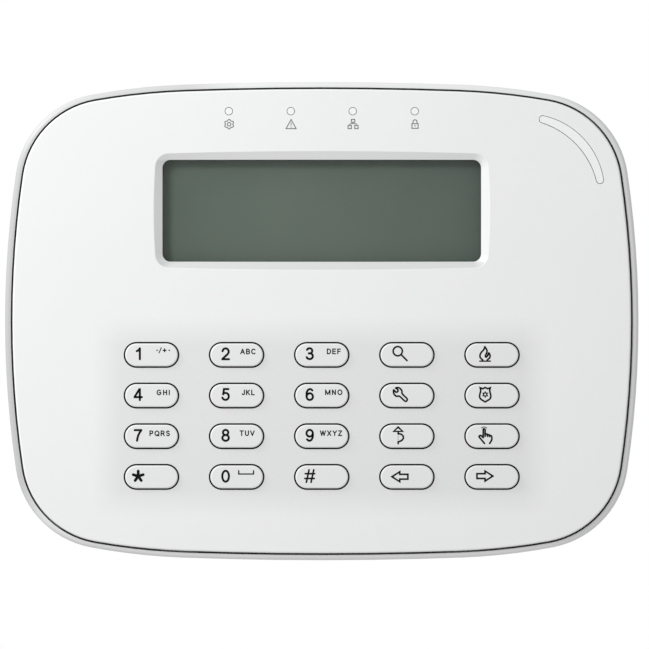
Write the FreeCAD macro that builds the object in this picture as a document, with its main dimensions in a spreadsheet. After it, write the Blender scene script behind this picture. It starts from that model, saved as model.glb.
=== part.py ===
import FreeCAD, Part
import Sketcher
import math
import os

# Alarm keypad panel for a wall.
# Frame: +X right, +Z up, the wall is the plane Y = 0 and the front looks along -Y.
# Origin: the middle of the back face. Heights above the wall are measured along -Y, so a height of 22 is Y = -22.

doc = FreeCAD.newDocument("alarm_keypad_panel")
sheet = doc.addObject("Spreadsheet::Sheet", "dims")
V = {}


def cell(alias, value):
    n = len(V) + 1
    sheet.set("A%d" % n, alias)
    sheet.set("B%d" % n, "%.6g" % value)
    sheet.setAlias("B%d" % n, alias)
    V[alias] = value


class Q:
    """A size: its number, and the sheet expression that drives it."""

    def __init__(self, v, e):
        self.v, self.e = v, e

    def __add__(self, o):
        o = q(o)
        return Q(self.v + o.v, "(%s + %s)" % (self.e, o.e))

    def __sub__(self, o):
        o = q(o)
        return Q(self.v - o.v, "(%s - %s)" % (self.e, o.e))

    def __mul__(self, o):
        o = q(o)
        return Q(self.v * o.v, "(%s * %s)" % (self.e, o.e))

    def __neg__(self):
        return Q(-self.v, "(0 - %s)" % self.e)


def q(x):
    return x if isinstance(x, Q) else Q(float(x), "%.6f" % x if x >= 0 else "(0 - %.6f)" % -x)


def D(alias):
    return Q(V[alias], "dims." + alias)


# ---- driving sizes (mm) ----
# heights above the wall
cell("back_wall", 2.0)
cell("widest", 16.0)
cell("rim_front", 21.0)
cell("face", 22.0)
cell("plate_back", 19.8)
cell("skirt_end", 15.1)
cell("recess_floor", 14.8)
cell("board_front", 12.6)
cell("board_back", 11.0)
# outline of the rear housing at its widest: half width, half height, and the radii from the middle of the top to the side
cell("case_half_w", 77.5)
cell("case_half_z", 58.5)
cell("case_top_radius", 907.2)
cell("case_shoulder_radius", 150.4)
cell("case_corner_radius", 22.7)
cell("case_side_radius", 245.7)
cell("case_top_end", 34.3)
# outline of the parting line between the cover and the rim
cell("line_half_w", 75.85)
cell("line_half_z", 56.97)
cell("line_top_radius", 944.3)
cell("line_shoulder_radius", 161.6)
cell("line_corner_radius", 21.7)
cell("line_side_radius", 244.9)
cell("line_top_end", 33.25)
cell("half_gap", 0.24)
cell("no_offset", 0.0)
cell("wall_taper", 2.25)
cell("cavity_top_inset", 2.2)
cell("cavity_floor_inset", 3.97)
cell("skirt_inner_inset", 1.84)
cell("board_inset", 3.6)
cell("rim_round", 1.20)
cell("face_round", 0.42)
# display
cell("display_z", 27.0)
cell("glass_half_w", 38.97)
cell("glass_half_z", 12.49)
cell("glass_corner", 1.96)
cell("bezel_half_w", 41.14)
cell("bezel_half_z", 14.60)
cell("bezel_top_radius", 1209.0)
cell("bezel_side_radius", 152.0)
cell("bezel_corner", 3.4)
cell("bezel_depth", 1.15)
# keys
cell("key_pitch_x", 20.816)
cell("key_pitch_z", 9.944)
cell("key_top_row_z", -8.25)
cell("key_half_len", 6.44)
cell("key_end_radius", 2.81)
cell("key_gap", 0.38)
cell("key_proud", 0.45)
cell("key_round", 0.38)
# indicator lights
cell("lamp_pitch", 15.15)
cell("lamp_z", 51.34)
cell("lamp_radius", 0.86)
# crescent light
cell("crescent_outer_x", 50.10)
cell("crescent_outer_z", 31.63)
cell("crescent_outer_radius", 19.13)
cell("crescent_inner_x", 47.70)
cell("crescent_inner_z", 29.37)
cell("crescent_inner_radius", 20.0)
cell("crescent_cap_radius", 0.97)
# board fixing and hinge
cell("boss_x", 62.0)
cell("boss_low_z", -43.0)
cell("boss_mid_z", -3.0)
cell("boss_high_x", 56.0)
cell("boss_high_z", 35.0)
cell("boss_radius", 3.0)
cell("hinge_z", 57.0)
cell("hook_x", 36.0)
cell("hook_width", 12.0)
cell("catch_x", 35.0)
# wall interface
cell("slot_x", 50.0)
cell("slot_z", 36.0)
cell("slot_half_width", 2.1)
cell("slot_length", 9.0)
cell("box_hole_z", 30.15)
cell("box_hole_radius", 2.1)
cell("entry_z", -12.5)
cell("entry_half_w", 16.0)
cell("entry_half_z", 9.0)
cell("entry_corner", 3.0)
# tamper switch
cell("tamper_x", 47.0)
cell("tamper_z", -22.0)
doc.recompute()

FACE, PLATE_BACK = D("face"), D("plate_back")
BF, BB = D("board_front"), D("board_back")
NODES = []


def body(name):
    b = doc.addObject("PartDesign::Body", name)
    b.Label = name
    NODES.append(b)
    return b


def origin_plane(b, role):
    return [f for f in b.Origin.OriginFeatures if f.Role == role][0]


def sketch(b, name, height=None, role="XZ_Plane"):
    s = b.newObject("Sketcher::SketchObject", name)
    s.AttachmentSupport = [(origin_plane(b, role), "")]
    s.MapMode = "FlatFace"
    if height is not None:
        height = q(height)
        s.AttachmentOffset = FreeCAD.Placement(FreeCAD.Vector(0, 0, height.v), FreeCAD.Rotation())
        s.setExpression("AttachmentOffset.Base.z", height.e)
    return s


def con(s, *args):
    return s.addConstraint(Sketcher.Constraint(*args))


def bind(s, kind, *args):
    """A driving size: the last argument is a Q."""
    size = args[-1]
    n = con(s, kind, *args[:-1], size.v)
    s.setExpression("Constraints[%d]" % n, size.e)
    return n


def place(s, geo, pos, x, z):
    """Holds a point at x, z from the sketch's origin."""
    for kind, size in (("DistanceX", q(x)), ("DistanceY", q(z))):
        if abs(size.v) < 1e-9:
            con(s, "PointOnObject", geo, pos, -2 if kind == "DistanceX" else -1)
        elif size.v > 0:
            bind(s, kind, -1, 1, geo, pos, size)
        else:
            bind(s, kind, geo, pos, -1, 1, -size)


def arc(cx, cz, r, a0, a1):
    return Part.ArcOfCircle(Part.Circle(FreeCAD.Vector(cx, cz, 0), FreeCAD.Vector(0, 0, 1), r), a0, a1)


def solve_turns(radii, a, b, x1):
    """Turning angles, from the middle of the top to the middle of the side, at which the tangent arcs meet."""
    t1 = math.asin(x1 / radii[0]) if x1 is not None else None
    n = len(radii)
    if n == 3:
        u, w = 0.05, math.pi / 2 - 0.05
    else:
        u, w = math.radians(9.9), math.radians(81.5)

    def miss(u, w):
        t = [0.0] + ([u, w] if n == 3 else [t1, u, w]) + [math.pi / 2]
        x = sum(radii[i] * (math.sin(t[i + 1]) - math.sin(t[i])) for i in range(n))
        z = sum(radii[i] * (math.cos(t[i]) - math.cos(t[i + 1])) for i in range(n))
        return x - a, z - b

    for _ in range(60):
        f, g = miss(u, w)
        e = 1e-7
        fu, gu = miss(u + e, w)
        fw, gw = miss(u, w + e)
        a11, a12, a21, a22 = (fu - f) / e, (fw - f) / e, (gu - g) / e, (gw - g) / e
        det = a11 * a22 - a12 * a21
        u, w = u - (f * a22 - g * a12) / det, w - (g * a11 - f * a21) / det
    return [u, w] if n == 3 else [t1, u, w]


def closed_arcs(s, radii, a, b, cx=0.0, cz=0.0, x1=None):
    """A closed outline of tangent arcs, the same in all four quarters. radii, a, b and x1 are Q."""
    cz = q(cz)
    r = [k.v for k in radii]
    turns = [0.0] + solve_turns(r, a.v, b.v, x1.v if x1 else None) + [math.pi / 2]
    n = len(r)
    # centres of the first quarter's arcs
    centres = []
    x, z = 0.0, b.v
    for i in range(n):
        c = (x - r[i] * math.sin(turns[i]), z - r[i] * math.cos(turns[i]))
        centres.append(c)
        x, z = c[0] + r[i] * math.sin(turns[i + 1]), c[1] + r[i] * math.cos(turns[i + 1])
    half = math.pi / 2
    pieces = []  # (centre x, z, radius index, start angle, end angle), counter-clockwise from the right side
    i_side, i_top = n - 1, 0
    quarters = [(1, 1), (-1, 1), (-1, -1), (1, -1)]
    # right side, then each quarter's inner arcs in turn with the top, left side and bottom between them
    side_span = half - turns[n - 1]
    pieces.append((centres[i_side][0], 0.0, i_side, -side_span, side_span))
    for i in range(n - 2, 0, -1):
        pieces.append((centres[i][0], centres[i][1], i, half - turns[i + 1], half - turns[i]))
    pieces.append((0.0, centres[0][1], 0, half - turns[1], half + turns[1]))
    for i in range(1, n - 1):
        pieces.append((-centres[i][0], centres[i][1], i, half + turns[i], half + turns[i + 1]))
    pieces.append((-centres[i_side][0], 0.0, i_side, math.pi - side_span, math.pi + side_span))
    for i in range(n - 2, 0, -1):
        pieces.append((-centres[i][0], -centres[i][1], i, 3 * half - turns[i + 1], 3 * half - turns[i]))
    pieces.append((0.0, -centres[0][1], 0, 3 * half - turns[1], 3 * half + turns[1]))
    for i in range(1, n - 1):
        pieces.append((centres[i][0], -centres[i][1], i, 3 * half + turns[i], 3 * half + turns[i + 1]))
    ids = [s.addGeometry(arc(p[0], p[1] + cz.v, r[p[2]], p[3], p[4]), False) for p in pieces]
    m = len(ids)
    for k in range(m):
        con(s, "Tangent", ids[k], 2, ids[(k + 1) % m], 1)
    first = {}
    for k, p in enumerate(pieces):
        if p[2] in first:
            con(s, "Equal", ids[first[p[2]]], ids[k])
        else:
            first[p[2]] = k
            bind(s, "Radius", ids[k], radii[p[2]])
    side_r, top_r = radii[i_side], radii[0]
    k_right, k_top = 0, n - 1
    k_left, k_bottom = k_top + n - 1, k_top + 2 * (n - 1)
    place(s, ids[k_right], 3, a - side_r, cz)
    place(s, ids[k_left], 3, side_r - a, cz)
    place(s, ids[k_top], 3, 0.0, b - top_r + cz)
    place(s, ids[k_bottom], 3, 0.0, top_r - b + cz)
    if x1 is not None:
        bind(s, "DistanceX", -1, 1, ids[k_top], 1, x1)
        bind(s, "DistanceX", ids[k_top], 2, -1, 1, x1)
        bind(s, "DistanceX", ids[k_bottom], 1, -1, 1, x1)
        bind(s, "DistanceX", -1, 1, ids[k_bottom], 2, x1)


def outline(s, family, inset):
    """The case outline or the parting-line outline, moved in by a sheet size."""
    i = D(inset) if isinstance(inset, str) else q(inset)
    radii = [D("%s_%s_radius" % (family, k)) - i for k in ("top", "shoulder", "corner", "side")]
    top_r, end = D(family + "_top_radius"), D(family + "_top_end")
    x1 = Q(end.v * (top_r.v - i.v) / top_r.v, "(%s * (%s - %s) / %s)" % (end.e, top_r.e, i.e, top_r.e))
    closed_arcs(s, radii, D(family + "_half_w") - i, D(family + "_half_z") - i, x1=x1)


def circle(s, x, z, r):
    x, z, r = q(x), q(z), q(r)
    g = s.addGeometry(Part.Circle(FreeCAD.Vector(x.v, z.v, 0), FreeCAD.Vector(0, 0, 1), r.v), False)
    bind(s, "Radius", g, r)
    place(s, g, 3, x, z)


def stadium(s, x, z, half_len, r):
    """A level slot with round ends."""
    x, z, half_len, r = q(x), q(z), q(half_len), q(r)
    c = half_len - r
    pi = math.pi
    a0 = s.addGeometry(arc(x.v + c.v, z.v, r.v, -pi / 2, pi / 2), False)
    l0 = s.addGeometry(Part.LineSegment(FreeCAD.Vector(x.v + c.v, z.v + r.v, 0), FreeCAD.Vector(x.v - c.v, z.v + r.v, 0)), False)
    a1 = s.addGeometry(arc(x.v - c.v, z.v, r.v, pi / 2, 3 * pi / 2), False)
    l1 = s.addGeometry(Part.LineSegment(FreeCAD.Vector(x.v - c.v, z.v - r.v, 0), FreeCAD.Vector(x.v + c.v, z.v - r.v, 0)), False)
    con(s, "Tangent", a0, 2, l0, 1)
    con(s, "Tangent", l0, 2, a1, 1)
    con(s, "Tangent", a1, 2, l1, 1)
    con(s, "Tangent", l1, 2, a0, 1)
    con(s, "Equal", a0, a1)
    con(s, "Horizontal", l0)
    bind(s, "Radius", a0, r)
    bind(s, "DistanceX", a1, 3, a0, 3, c * 2)
    place(s, a0, 3, x + c, z)


def rect(s, x0, x1, z0, z1, r=None):
    """A rectangle, with round corners if r is given."""
    x0, x1, z0, z1 = q(x0), q(x1), q(z0), q(z1)
    P = lambda x, z: FreeCAD.Vector(x, z, 0)
    if r is None:
        p = [P(x0.v, z0.v), P(x1.v, z0.v), P(x1.v, z1.v), P(x0.v, z1.v)]
        g = [s.addGeometry(Part.LineSegment(p[i], p[(i + 1) % 4]), False) for i in range(4)]
        for i in range(4):
            con(s, "Coincident", g[i], 2, g[(i + 1) % 4], 1)
        con(s, "Horizontal", g[0])
        con(s, "Horizontal", g[2])
        con(s, "Vertical", g[1])
        con(s, "Vertical", g[3])
        place(s, g[0], 1, x0, z0)
        place(s, g[2], 1, x1, z1)
        return
    r = q(r)
    pi = math.pi
    k = r.v
    l = [
        s.addGeometry(Part.LineSegment(P(x0.v + k, z0.v), P(x1.v - k, z0.v)), False),
        s.addGeometry(Part.LineSegment(P(x1.v, z0.v + k), P(x1.v, z1.v - k)), False),
        s.addGeometry(Part.LineSegment(P(x1.v - k, z1.v), P(x0.v + k, z1.v)), False),
        s.addGeometry(Part.LineSegment(P(x0.v, z1.v - k), P(x0.v, z0.v + k)), False),
    ]
    c = [
        s.addGeometry(arc(x1.v - k, z0.v + k, k, -pi / 2, 0), False),
        s.addGeometry(arc(x1.v - k, z1.v - k, k, 0, pi / 2), False),
        s.addGeometry(arc(x0.v + k, z1.v - k, k, pi / 2, pi), False),
        s.addGeometry(arc(x0.v + k, z0.v + k, k, pi, 3 * pi / 2), False),
    ]
    for i in range(4):
        con(s, "Tangent", l[i], 2, c[i], 1)
        con(s, "Tangent", c[i], 2, l[(i + 1) % 4], 1)
    con(s, "Horizontal", l[0])
    con(s, "Horizontal", l[2])
    con(s, "Vertical", l[1])
    con(s, "Vertical", l[3])
    for i in (1, 2, 3):
        con(s, "Equal", c[0], c[i])
    bind(s, "Radius", c[0], r)
    place(s, c[3], 3, x0 + r, z0 + r)
    place(s, c[1], 3, x1 - r, z1 - r)


def crescent(s, grow):
    """The crescent of the corner light, grown outwards by grow."""
    grow = q(grow)
    ox, oz, orad = D("crescent_outer_x"), D("crescent_outer_z"), D("crescent_outer_radius") + grow
    ix, iz, irad = D("crescent_inner_x"), D("crescent_inner_z"), D("crescent_inner_radius") - grow
    cap = D("crescent_cap_radius") + grow
    # a cap's centre lies orad - cap from the outer centre and irad + cap from the inner one
    dx, dz = ix.v - ox.v, iz.v - oz.v
    d = math.hypot(dx, dz)
    ra, rb = orad.v - cap.v, irad.v + cap.v
    along = (ra * ra - rb * rb + d * d) / (2 * d)
    side = math.sqrt(ra * ra - along * along)
    ends = []
    for sign in (1, -1):
        ends.append((ox.v + (dx * along - sign * dz * side) / d, oz.v + (dz * along + sign * dx * side) / d))
    top, low = sorted(ends, key=lambda p: -p[1])
    ang = lambda c, p: math.atan2(p[1] - c[1], p[0] - c[0])
    oc, ic = (ox.v, oz.v), (ix.v, iz.v)
    g_out = s.addGeometry(arc(ox.v, oz.v, orad.v, ang(oc, low), ang(oc, top)), False)
    a0 = ang(oc, top)
    g_top = s.addGeometry(arc(top[0], top[1], cap.v, a0, ang(ic, top) + math.pi), False)
    g_in = s.addGeometry(arc(ix.v, iz.v, irad.v, ang(ic, low), ang(ic, top)), False)
    g_low = s.addGeometry(arc(low[0], low[1], cap.v, ang(ic, low) - math.pi, ang(oc, low)), False)
    con(s, "Tangent", g_out, 2, g_top, 1)
    con(s, "Tangent", g_top, 2, g_in, 2)
    con(s, "Tangent", g_in, 1, g_low, 1)
    con(s, "Tangent", g_low, 2, g_out, 1)
    bind(s, "Radius", g_out, orad)
    bind(s, "Radius", g_in, irad)
    bind(s, "Radius", g_top, cap)
    con(s, "Equal", g_top, g_low)
    place(s, g_out, 3, ox, oz)
    place(s, g_in, 3, ix, iz)


def pad(b, s, length, name):
    p = b.newObject("PartDesign::Pad", name)
    p.Profile = s
    p.Length = q(length).v
    p.setExpression("Length", q(length).e)
    s.Visibility = False
    return p


def pocket(b, s, length, name):
    """Cuts towards the wall, or down for a sketch on the level plane."""
    p = b.newObject("PartDesign::Pocket", name)
    p.Profile = s
    p.Length = q(length).v
    p.setExpression("Length", q(length).e)
    s.Visibility = False
    return p


def round_edges(b, name, radius, test):
    """Rounds every edge of the body so far whose points all pass the test."""
    doc.recompute()
    base = b.Tip
    names = []
    for n, e in enumerate(base.Shape.Edges, 1):
        pts = [e.valueAt(e.FirstParameter + (e.LastParameter - e.FirstParameter) * k / 4.0) for k in range(5)]
        if all(test(p) for p in pts):
            names.append("Edge%d" % n)
    f = b.newObject("PartDesign::Fillet", name)
    f.Base = (base, names)
    f.Radius = q(radius).v
    f.setExpression("Radius", q(radius).e)
    doc.recompute()
    return f


def bound(o, prop, size):
    size = q(size)
    o.setExpression(prop, size.e)
    return size.v


def box(name, x0, x1, h0, h1, z0, z1, keep=False):
    """A block between two heights above the wall."""
    x0, x1, h0, h1, z0, z1 = map(q, (x0, x1, h0, h1, z0, z1))
    o = doc.addObject("Part::Box", name)
    o.Placement = FreeCAD.Placement(FreeCAD.Vector(x0.v, -h1.v, z0.v), FreeCAD.Rotation())
    bound(o, "Placement.Base.x", x0)
    bound(o, "Placement.Base.y", -h1)
    bound(o, "Placement.Base.z", z0)
    o.Length, o.Width, o.Height = (x1 - x0).v, (h1 - h0).v, (z1 - z0).v
    bound(o, "Length", x1 - x0)
    bound(o, "Width", h1 - h0)
    bound(o, "Height", z1 - z0)
    if keep:
        o.Label = name
        NODES.append(o)
    return o


def rod(name, x, z, h0, h1, r, r_far=None):
    """A round along the depth, between two heights; a cone if r_far is given."""
    x, z, h0, h1, r = map(q, (x, z, h0, h1, r))
    o = doc.addObject("Part::Cylinder" if r_far is None else "Part::Cone", name)
    o.Placement = FreeCAD.Placement(FreeCAD.Vector(x.v, -h0.v, z.v), FreeCAD.Rotation(FreeCAD.Vector(1, 0, 0), 90))
    bound(o, "Placement.Base.x", x)
    bound(o, "Placement.Base.y", -h0)
    bound(o, "Placement.Base.z", z)
    o.Height = (h1 - h0).v
    bound(o, "Height", h1 - h0)
    if r_far is None:
        o.Radius = r.v
        bound(o, "Radius", r)
    else:
        r_far = q(r_far)
        o.Radius1, o.Radius2 = r.v, r_far.v
        bound(o, "Radius1", r)
        bound(o, "Radius2", r_far)
    return o


def fuse(name, shapes, keep=False):
    o = doc.addObject("Part::MultiFuse", name)
    o.Shapes = shapes
    if keep:
        o.Label = name
        NODES.append(o)
    return o


def cut(name, base, tool, keep=False):
    o = doc.addObject("Part::Cut", name)
    o.Base, o.Tool = base, tool
    if keep:
        o.Label = name
        NODES.append(o)
    return o


def group(name, shapes):
    o = doc.addObject("Part::Compound", name)
    o.Links = shapes
    o.Label = name
    NODES.append(o)
    return o


near = lambda a, b: abs(a - b) < 1e-3
COLUMNS = [D("key_pitch_x") * k for k in (-2, -1, 0, 1, 2)]
ROWS = [D("key_top_row_z") - D("key_pitch_z") * k for k in (0, 1, 2, 3)]
LAMPS = [D("lamp_pitch") * k for k in (-1.5, -0.5, 0.5, 1.5)]
BOSSES = [(D("boss_high_x"), D("boss_high_z")), (-D("boss_high_x"), D("boss_high_z")),
          (D("boss_x"), D("boss_mid_z")), (-D("boss_x"), D("boss_mid_z")),
          (D("boss_x"), D("boss_low_z")), (-D("boss_x"), D("boss_low_z"))]
DZ = D("display_z")

# ---- rear housing: a shallow tray with drafted flanks and a rounded rim ----
b = body("rear_housing")
s = sketch(b, "widest_outline", D("widest"))
outline(s, "case", "no_offset")
pad(b, s, D("rim_front") - D("widest"), "rim")
lo = sketch(b, "wall_outline", D("no_offset"))
outline(lo, "case", "wall_taper")
hi = sketch(b, "widest_outline_again", D("widest"))
outline(hi, "case", "no_offset")
loft = b.newObject("PartDesign::AdditiveLoft", "flanks")
loft.Profile = lo
loft.Sections = [hi]
loft.Ruled = True
round_edges(b, "rim_rounding", D("rim_round"), lambda p: near(p.y, -V["rim_front"]))
round_edges(b, "wall_edge_rounding", 0.8, lambda p: near(p.y, 0))
s = sketch(b, "cover_recess_outline", D("rim_front"))
outline(s, "line", Q(-V["half_gap"], "(0 - dims.half_gap)"))
pocket(b, s, D("rim_front") - D("recess_floor"), "cover_recess")
hi = sketch(b, "cavity_mouth", D("recess_floor") + 0.2)
outline(hi, "case", "cavity_top_inset")
lo = sketch(b, "cavity_floor", D("back_wall"))
outline(lo, "case", "cavity_floor_inset")
loft = b.newObject("PartDesign::SubtractiveLoft", "cavity")
loft.Profile = hi
loft.Sections = [lo]
loft.Ruled = True
doc.recompute()
# openings in the back wall: cable entry, four level slots, four round holes for flush boxes
s = sketch(b, "cable_entry_outline", D("back_wall") + 0.5)
rect(s, -D("entry_half_w"), D("entry_half_w"), D("entry_z") - D("entry_half_z"), D("entry_z") + D("entry_half_z"), D("entry_corner"))
pocket(b, s, D("back_wall") + 1, "cable_entry")
s = sketch(b, "slot_outlines", D("back_wall") + 0.5)
for sx in (1, -1):
    for sz in (1, -1):
        stadium(s, D("slot_x") * sx, D("slot_z") * sz, D("slot_length") * 0.5, D("slot_half_width"))
pocket(b, s, D("back_wall") + 1, "wall_slots")
s = sketch(b, "box_hole_outlines", D("back_wall") + 0.5)
circle(s, 0, D("box_hole_z"), D("box_hole_radius"))
circle(s, 0, -D("box_hole_z"), D("box_hole_radius"))
pocket(b, s, D("back_wall") + 1, "box_holes")
# a shallow relief in the back face, so the housing sits on its edge lands
s = sketch(b, "back_relief_outline", 0.6)
for x0, x1 in ((-68.0, -58.0), (58.0, 68.0)):
    rect(s, x0, x1, -30.0, 30.0, 3.0)
pocket(b, s, 1.0, "back_relief")
# lips that the cover's hooks turn under
s = sketch(b, "lip_outlines", 13.6)
for sx in (1, -1):
    rect(s, D("hook_x") * sx - D("hook_width") * 0.5 - 0.5, D("hook_x") * sx + D("hook_width") * 0.5 + 0.5, D("hinge_z") - 4.4, D("hinge_z") - 0.6)
pad(b, s, D("recess_floor") - 13.6, "hinge_lips")
# snap catches on the lower wall
s = sketch(b, "catch_outlines", 16.5)
for sx in (1, -1):
    rect(s, D("catch_x") * sx - 4.5, D("catch_x") * sx + 4.5, -57.6, -55.7)
pad(b, s, 1.1, "snap_catches")
# post that holds the tamper plunger in while the case is closed
s = sketch(b, "post_outline", D("back_wall") - 0.5)
circle(s, D("tamper_x"), D("tamper_z"), 4.0)
pad(b, s, 2.5, "tamper_post")
# kerb round the cable entry, two stiffening ribs and the collars round the slots
s = sketch(b, "kerb_outline", D("back_wall") - 0.5)
e = 1.4
rect(s, -D("entry_half_w") - e, D("entry_half_w") + e, D("entry_z") - D("entry_half_z") - e, D("entry_z") + D("entry_half_z") + e, D("entry_corner") + e)
rect(s, -D("entry_half_w") - 0.2, D("entry_half_w") + 0.2, D("entry_z") - D("entry_half_z") - 0.2, D("entry_z") + D("entry_half_z") + 0.2, D("entry_corner") + 0.2)
pad(b, s, 1.6, "entry_kerb")
s = sketch(b, "rib_outlines", D("back_wall") - 0.5)
for x0 in (-66.0, 64.8):
    rect(s, x0, x0 + 1.2, -26.0, 26.0)
rect(s, -28.0, 28.0, 44.0, 45.2)
rect(s, -28.0, 28.0, -50.2, -49.0)
pad(b, s, 2.5, "stiffening_ribs")
s = sketch(b, "collar_outlines", D("back_wall") - 0.5)
for sx in (1, -1):
    for sz in (1, -1):
        stadium(s, D("slot_x") * sx, D("slot_z") * sz, D("slot_length") * 0.5 + 3.4, D("slot_half_width") + 3.4)
        stadium(s, D("slot_x") * sx, D("slot_z") * sz, D("slot_length") * 0.5 + 2.4, D("slot_half_width") + 2.4)
pad(b, s, 1.3, "slot_collars")

# ---- front cover: flat face, skirt, openings, bosses, hooks ----
b = body("front_cover")
s = sketch(b, "cover_outline", D("skirt_end"))
outline(s, "line", "half_gap")
pad(b, s, FACE - D("skirt_end"), "cover_block")
s = sketch(b, "cover_inside_outline", PLATE_BACK)
outline(s, "line", "skirt_inner_inset")
pocket(b, s, PLATE_BACK - D("skirt_end") + 1, "cover_inside")
round_edges(b, "face_rounding", D("face_round"), lambda p: near(p.y, -V["face"]))
s = sketch(b, "bezel_mouth", FACE)
closed_arcs(s, [D("bezel_top_radius"), D("bezel_corner"), D("bezel_side_radius")], D("bezel_half_w"), D("bezel_half_z"), cz=DZ)
lo = sketch(b, "bezel_floor", FACE - D("bezel_depth"))
closed_arcs(lo, [q(20000.0), D("glass_corner"), q(9000.0)], D("glass_half_w"), D("glass_half_z"), cz=DZ)
loft = b.newObject("PartDesign::SubtractiveLoft", "display_bezel")
loft.Profile = s
loft.Sections = [lo]
loft.Ruled = True
doc.recompute()
s = sketch(b, "display_opening_outline", FACE - D("bezel_depth") + 0.02)
closed_arcs(s, [q(20000.0), D("glass_corner"), q(9000.0)], D("glass_half_w"), D("glass_half_z"), cz=DZ)
pocket(b, s, 2.0, "display_opening")
s = sketch(b, "key_opening_outlines", FACE + 0.5)
for x in COLUMNS:
    stadium(s, x, ROWS[0], D("key_half_len") + D("key_gap"), D("key_end_radius") + D("key_gap"))
first_row = pocket(b, s, 4.0, "key_openings")
doc.recompute()
pat = b.newObject("PartDesign::LinearPattern", "key_opening_rows")
pat.Originals = [first_row]
pat.Direction = (s, ["V_Axis"])
pat.Reversed = True
pat.Occurrences = 4
pat.Length = V["key_pitch_z"] * 3
pat.setExpression("Length", "dims.key_pitch_z * 3")
b.Tip = pat
doc.recompute()
s = sketch(b, "lamp_hole_outlines", FACE + 0.5)
for x in LAMPS:
    circle(s, x, D("lamp_z"), D("lamp_radius") + 0.14)
pocket(b, s, 4.0, "lamp_holes")
s = sketch(b, "crescent_opening_outline", FACE + 0.5)
crescent(s, 0.0)
pocket(b, s, 4.0, "crescent_opening")
s = sketch(b, "boss_outlines", BF)
for x, z in BOSSES:
    circle(s, x, z, D("boss_radius"))
pad(b, s, PLATE_BACK - BF + 0.3, "board_bosses")
s = sketch(b, "boss_hole_outlines", BF + 6.5)
for x, z in BOSSES:
    circle(s, x, z, 1.2)
pocket(b, s, 7.0, "boss_holes")
s = sketch(b, "neck_outlines", 10.6)
for sx in (1, -1):
    rect(s, D("hook_x") * sx - D("hook_width") * 0.5, D("hook_x") * sx + D("hook_width") * 0.5, D("hinge_z") - 6.3, D("hinge_z") - 4.75)
pad(b, s, PLATE_BACK - 10.6 + 0.3, "hook_necks")
s = sketch(b, "barb_outlines", 10.6)
for sx in (1, -1):
    rect(s, D("hook_x") * sx - D("hook_width") * 0.5, D("hook_x") * sx + D("hook_width") * 0.5, D("hinge_z") - 6.3, D("hinge_z") - 2.7)
pad(b, s, 1.5, "hook_barbs")
s = sketch(b, "mat_rib_outline", 13.95)
hx, z0, z1 = 52.0, -44.6, -2.2
rect(s, -hx - 1.2, hx + 1.2, z0 - 1.2, z1 + 1.2, 3.2)
rect(s, -hx, hx, z0, z1, 2.0)
pad(b, s, PLATE_BACK - 13.95 + 0.3, "keymat_rib")
# windows in the lower skirt for the snap catches
s = sketch(b, "catch_window_outlines", None, "XY_Plane")
for sx in (1, -1):
    rect(s, D("catch_x") * sx - 5.0, D("catch_x") * sx + 5.0, -17.95, -16.15)
pocket(b, s, 70.0, "catch_windows")

# ---- display stack ----
b = body("display_window")
s = sketch(b, "window_flange_outline", 19.0)
rect(s, -42.2, 42.2, DZ - 15.6, DZ + 15.6, 2.5)
pad(b, s, 0.75, "window_flange")
s = sketch(b, "window_pane_outline", 19.5)
rect(s, -D("glass_half_w") + 0.12, D("glass_half_w") - 0.12, DZ - D("glass_half_z") + 0.12, DZ + D("glass_half_z") - 0.12, D("glass_corner") - 0.12)
pad(b, s, 1.25, "window_pane")
round_edges(b, "pane_edge_rounding", 0.2, lambda p: near(p.y, -20.75))
cut("lcd_dust_gasket", box("gasket_outer", -42.2, 42.2, 18.32, 18.98, DZ - 15.6, DZ + 15.6),
    box("gasket_inner", -39.9, 39.9, 18.0, 19.5, DZ - 13.4, DZ + 13.4), True)
frame_tools = fuse("bezel_tools", [box("bezel_inner", -44.4, 44.4, 12.0, 17.9, DZ - 17.4, DZ + 17.4),
                                   box("bezel_window", -40.6, 40.6, 17.0, 19.0, DZ - 14.0, DZ + 14.0)])
cut("lcd_bezel", box("bezel_outer", -44.8, 44.8, BF + 0.02, 18.3, DZ - 17.8, DZ + 17.8), frame_tools, True)
box("lcd_glass", -44.2, 44.2, 15.5, 17.88, DZ - 17.2, DZ + 17.2, True)
box("lcd_light_guide", -42.0, 42.0, 12.65, 15.45, DZ - 13.6, DZ + 16.8, True)
group("lcd_zebra_strips", [box("zebra_left", -38.0, -2.0, 12.62, 15.48, DZ - 16.6, DZ - 14.6),
                           box("zebra_right", 2.0, 38.0, 12.62, 15.48, DZ - 16.6, DZ - 14.6)])
group("lcd_backlight_leds", [box("backlight_led_%d" % k, 42.2, 43.9, 12.62, 14.2, DZ + z - 1.4, DZ + z + 1.4)
                             for k, z in enumerate((-9.0, -3.0, 3.0, 9.0))])

# ---- keys and keymat ----
NAMES = [["key_1", "key_2", "key_3", "key_search", "key_fire"],
         ["key_4", "key_5", "key_6", "key_tools", "key_shield"],
         ["key_7", "key_8", "key_9", "key_bypass", "key_touch"],
         ["key_star", "key_0", "key_hash", "key_left", "key_right"]]
for r, names in enumerate(NAMES):
    for c, name in enumerate(names):
        x, z = COLUMNS[c], ROWS[r]
        b = body(name)
        s = sketch(b, "flange_outline", 18.3)
        stadium(s, x, z, D("key_half_len") + 1.1, D("key_end_radius") + 1.1)
        pad(b, s, 1.15, "flange")
        s = sketch(b, "cap_outline", 18.8)
        stadium(s, x, z, D("key_half_len"), D("key_end_radius"))
        pad(b, s, FACE + D("key_proud") - 18.8, "cap")
        round_edges(b, "cap_rounding", D("key_round"), lambda p: near(p.y, -V["face"] - V["key_proud"]))
        s = sketch(b, "stem_outline", 16.62)
        stadium(s, x, z, 3.2, 1.7)
        pad(b, s, 2.0, "stem")
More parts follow.
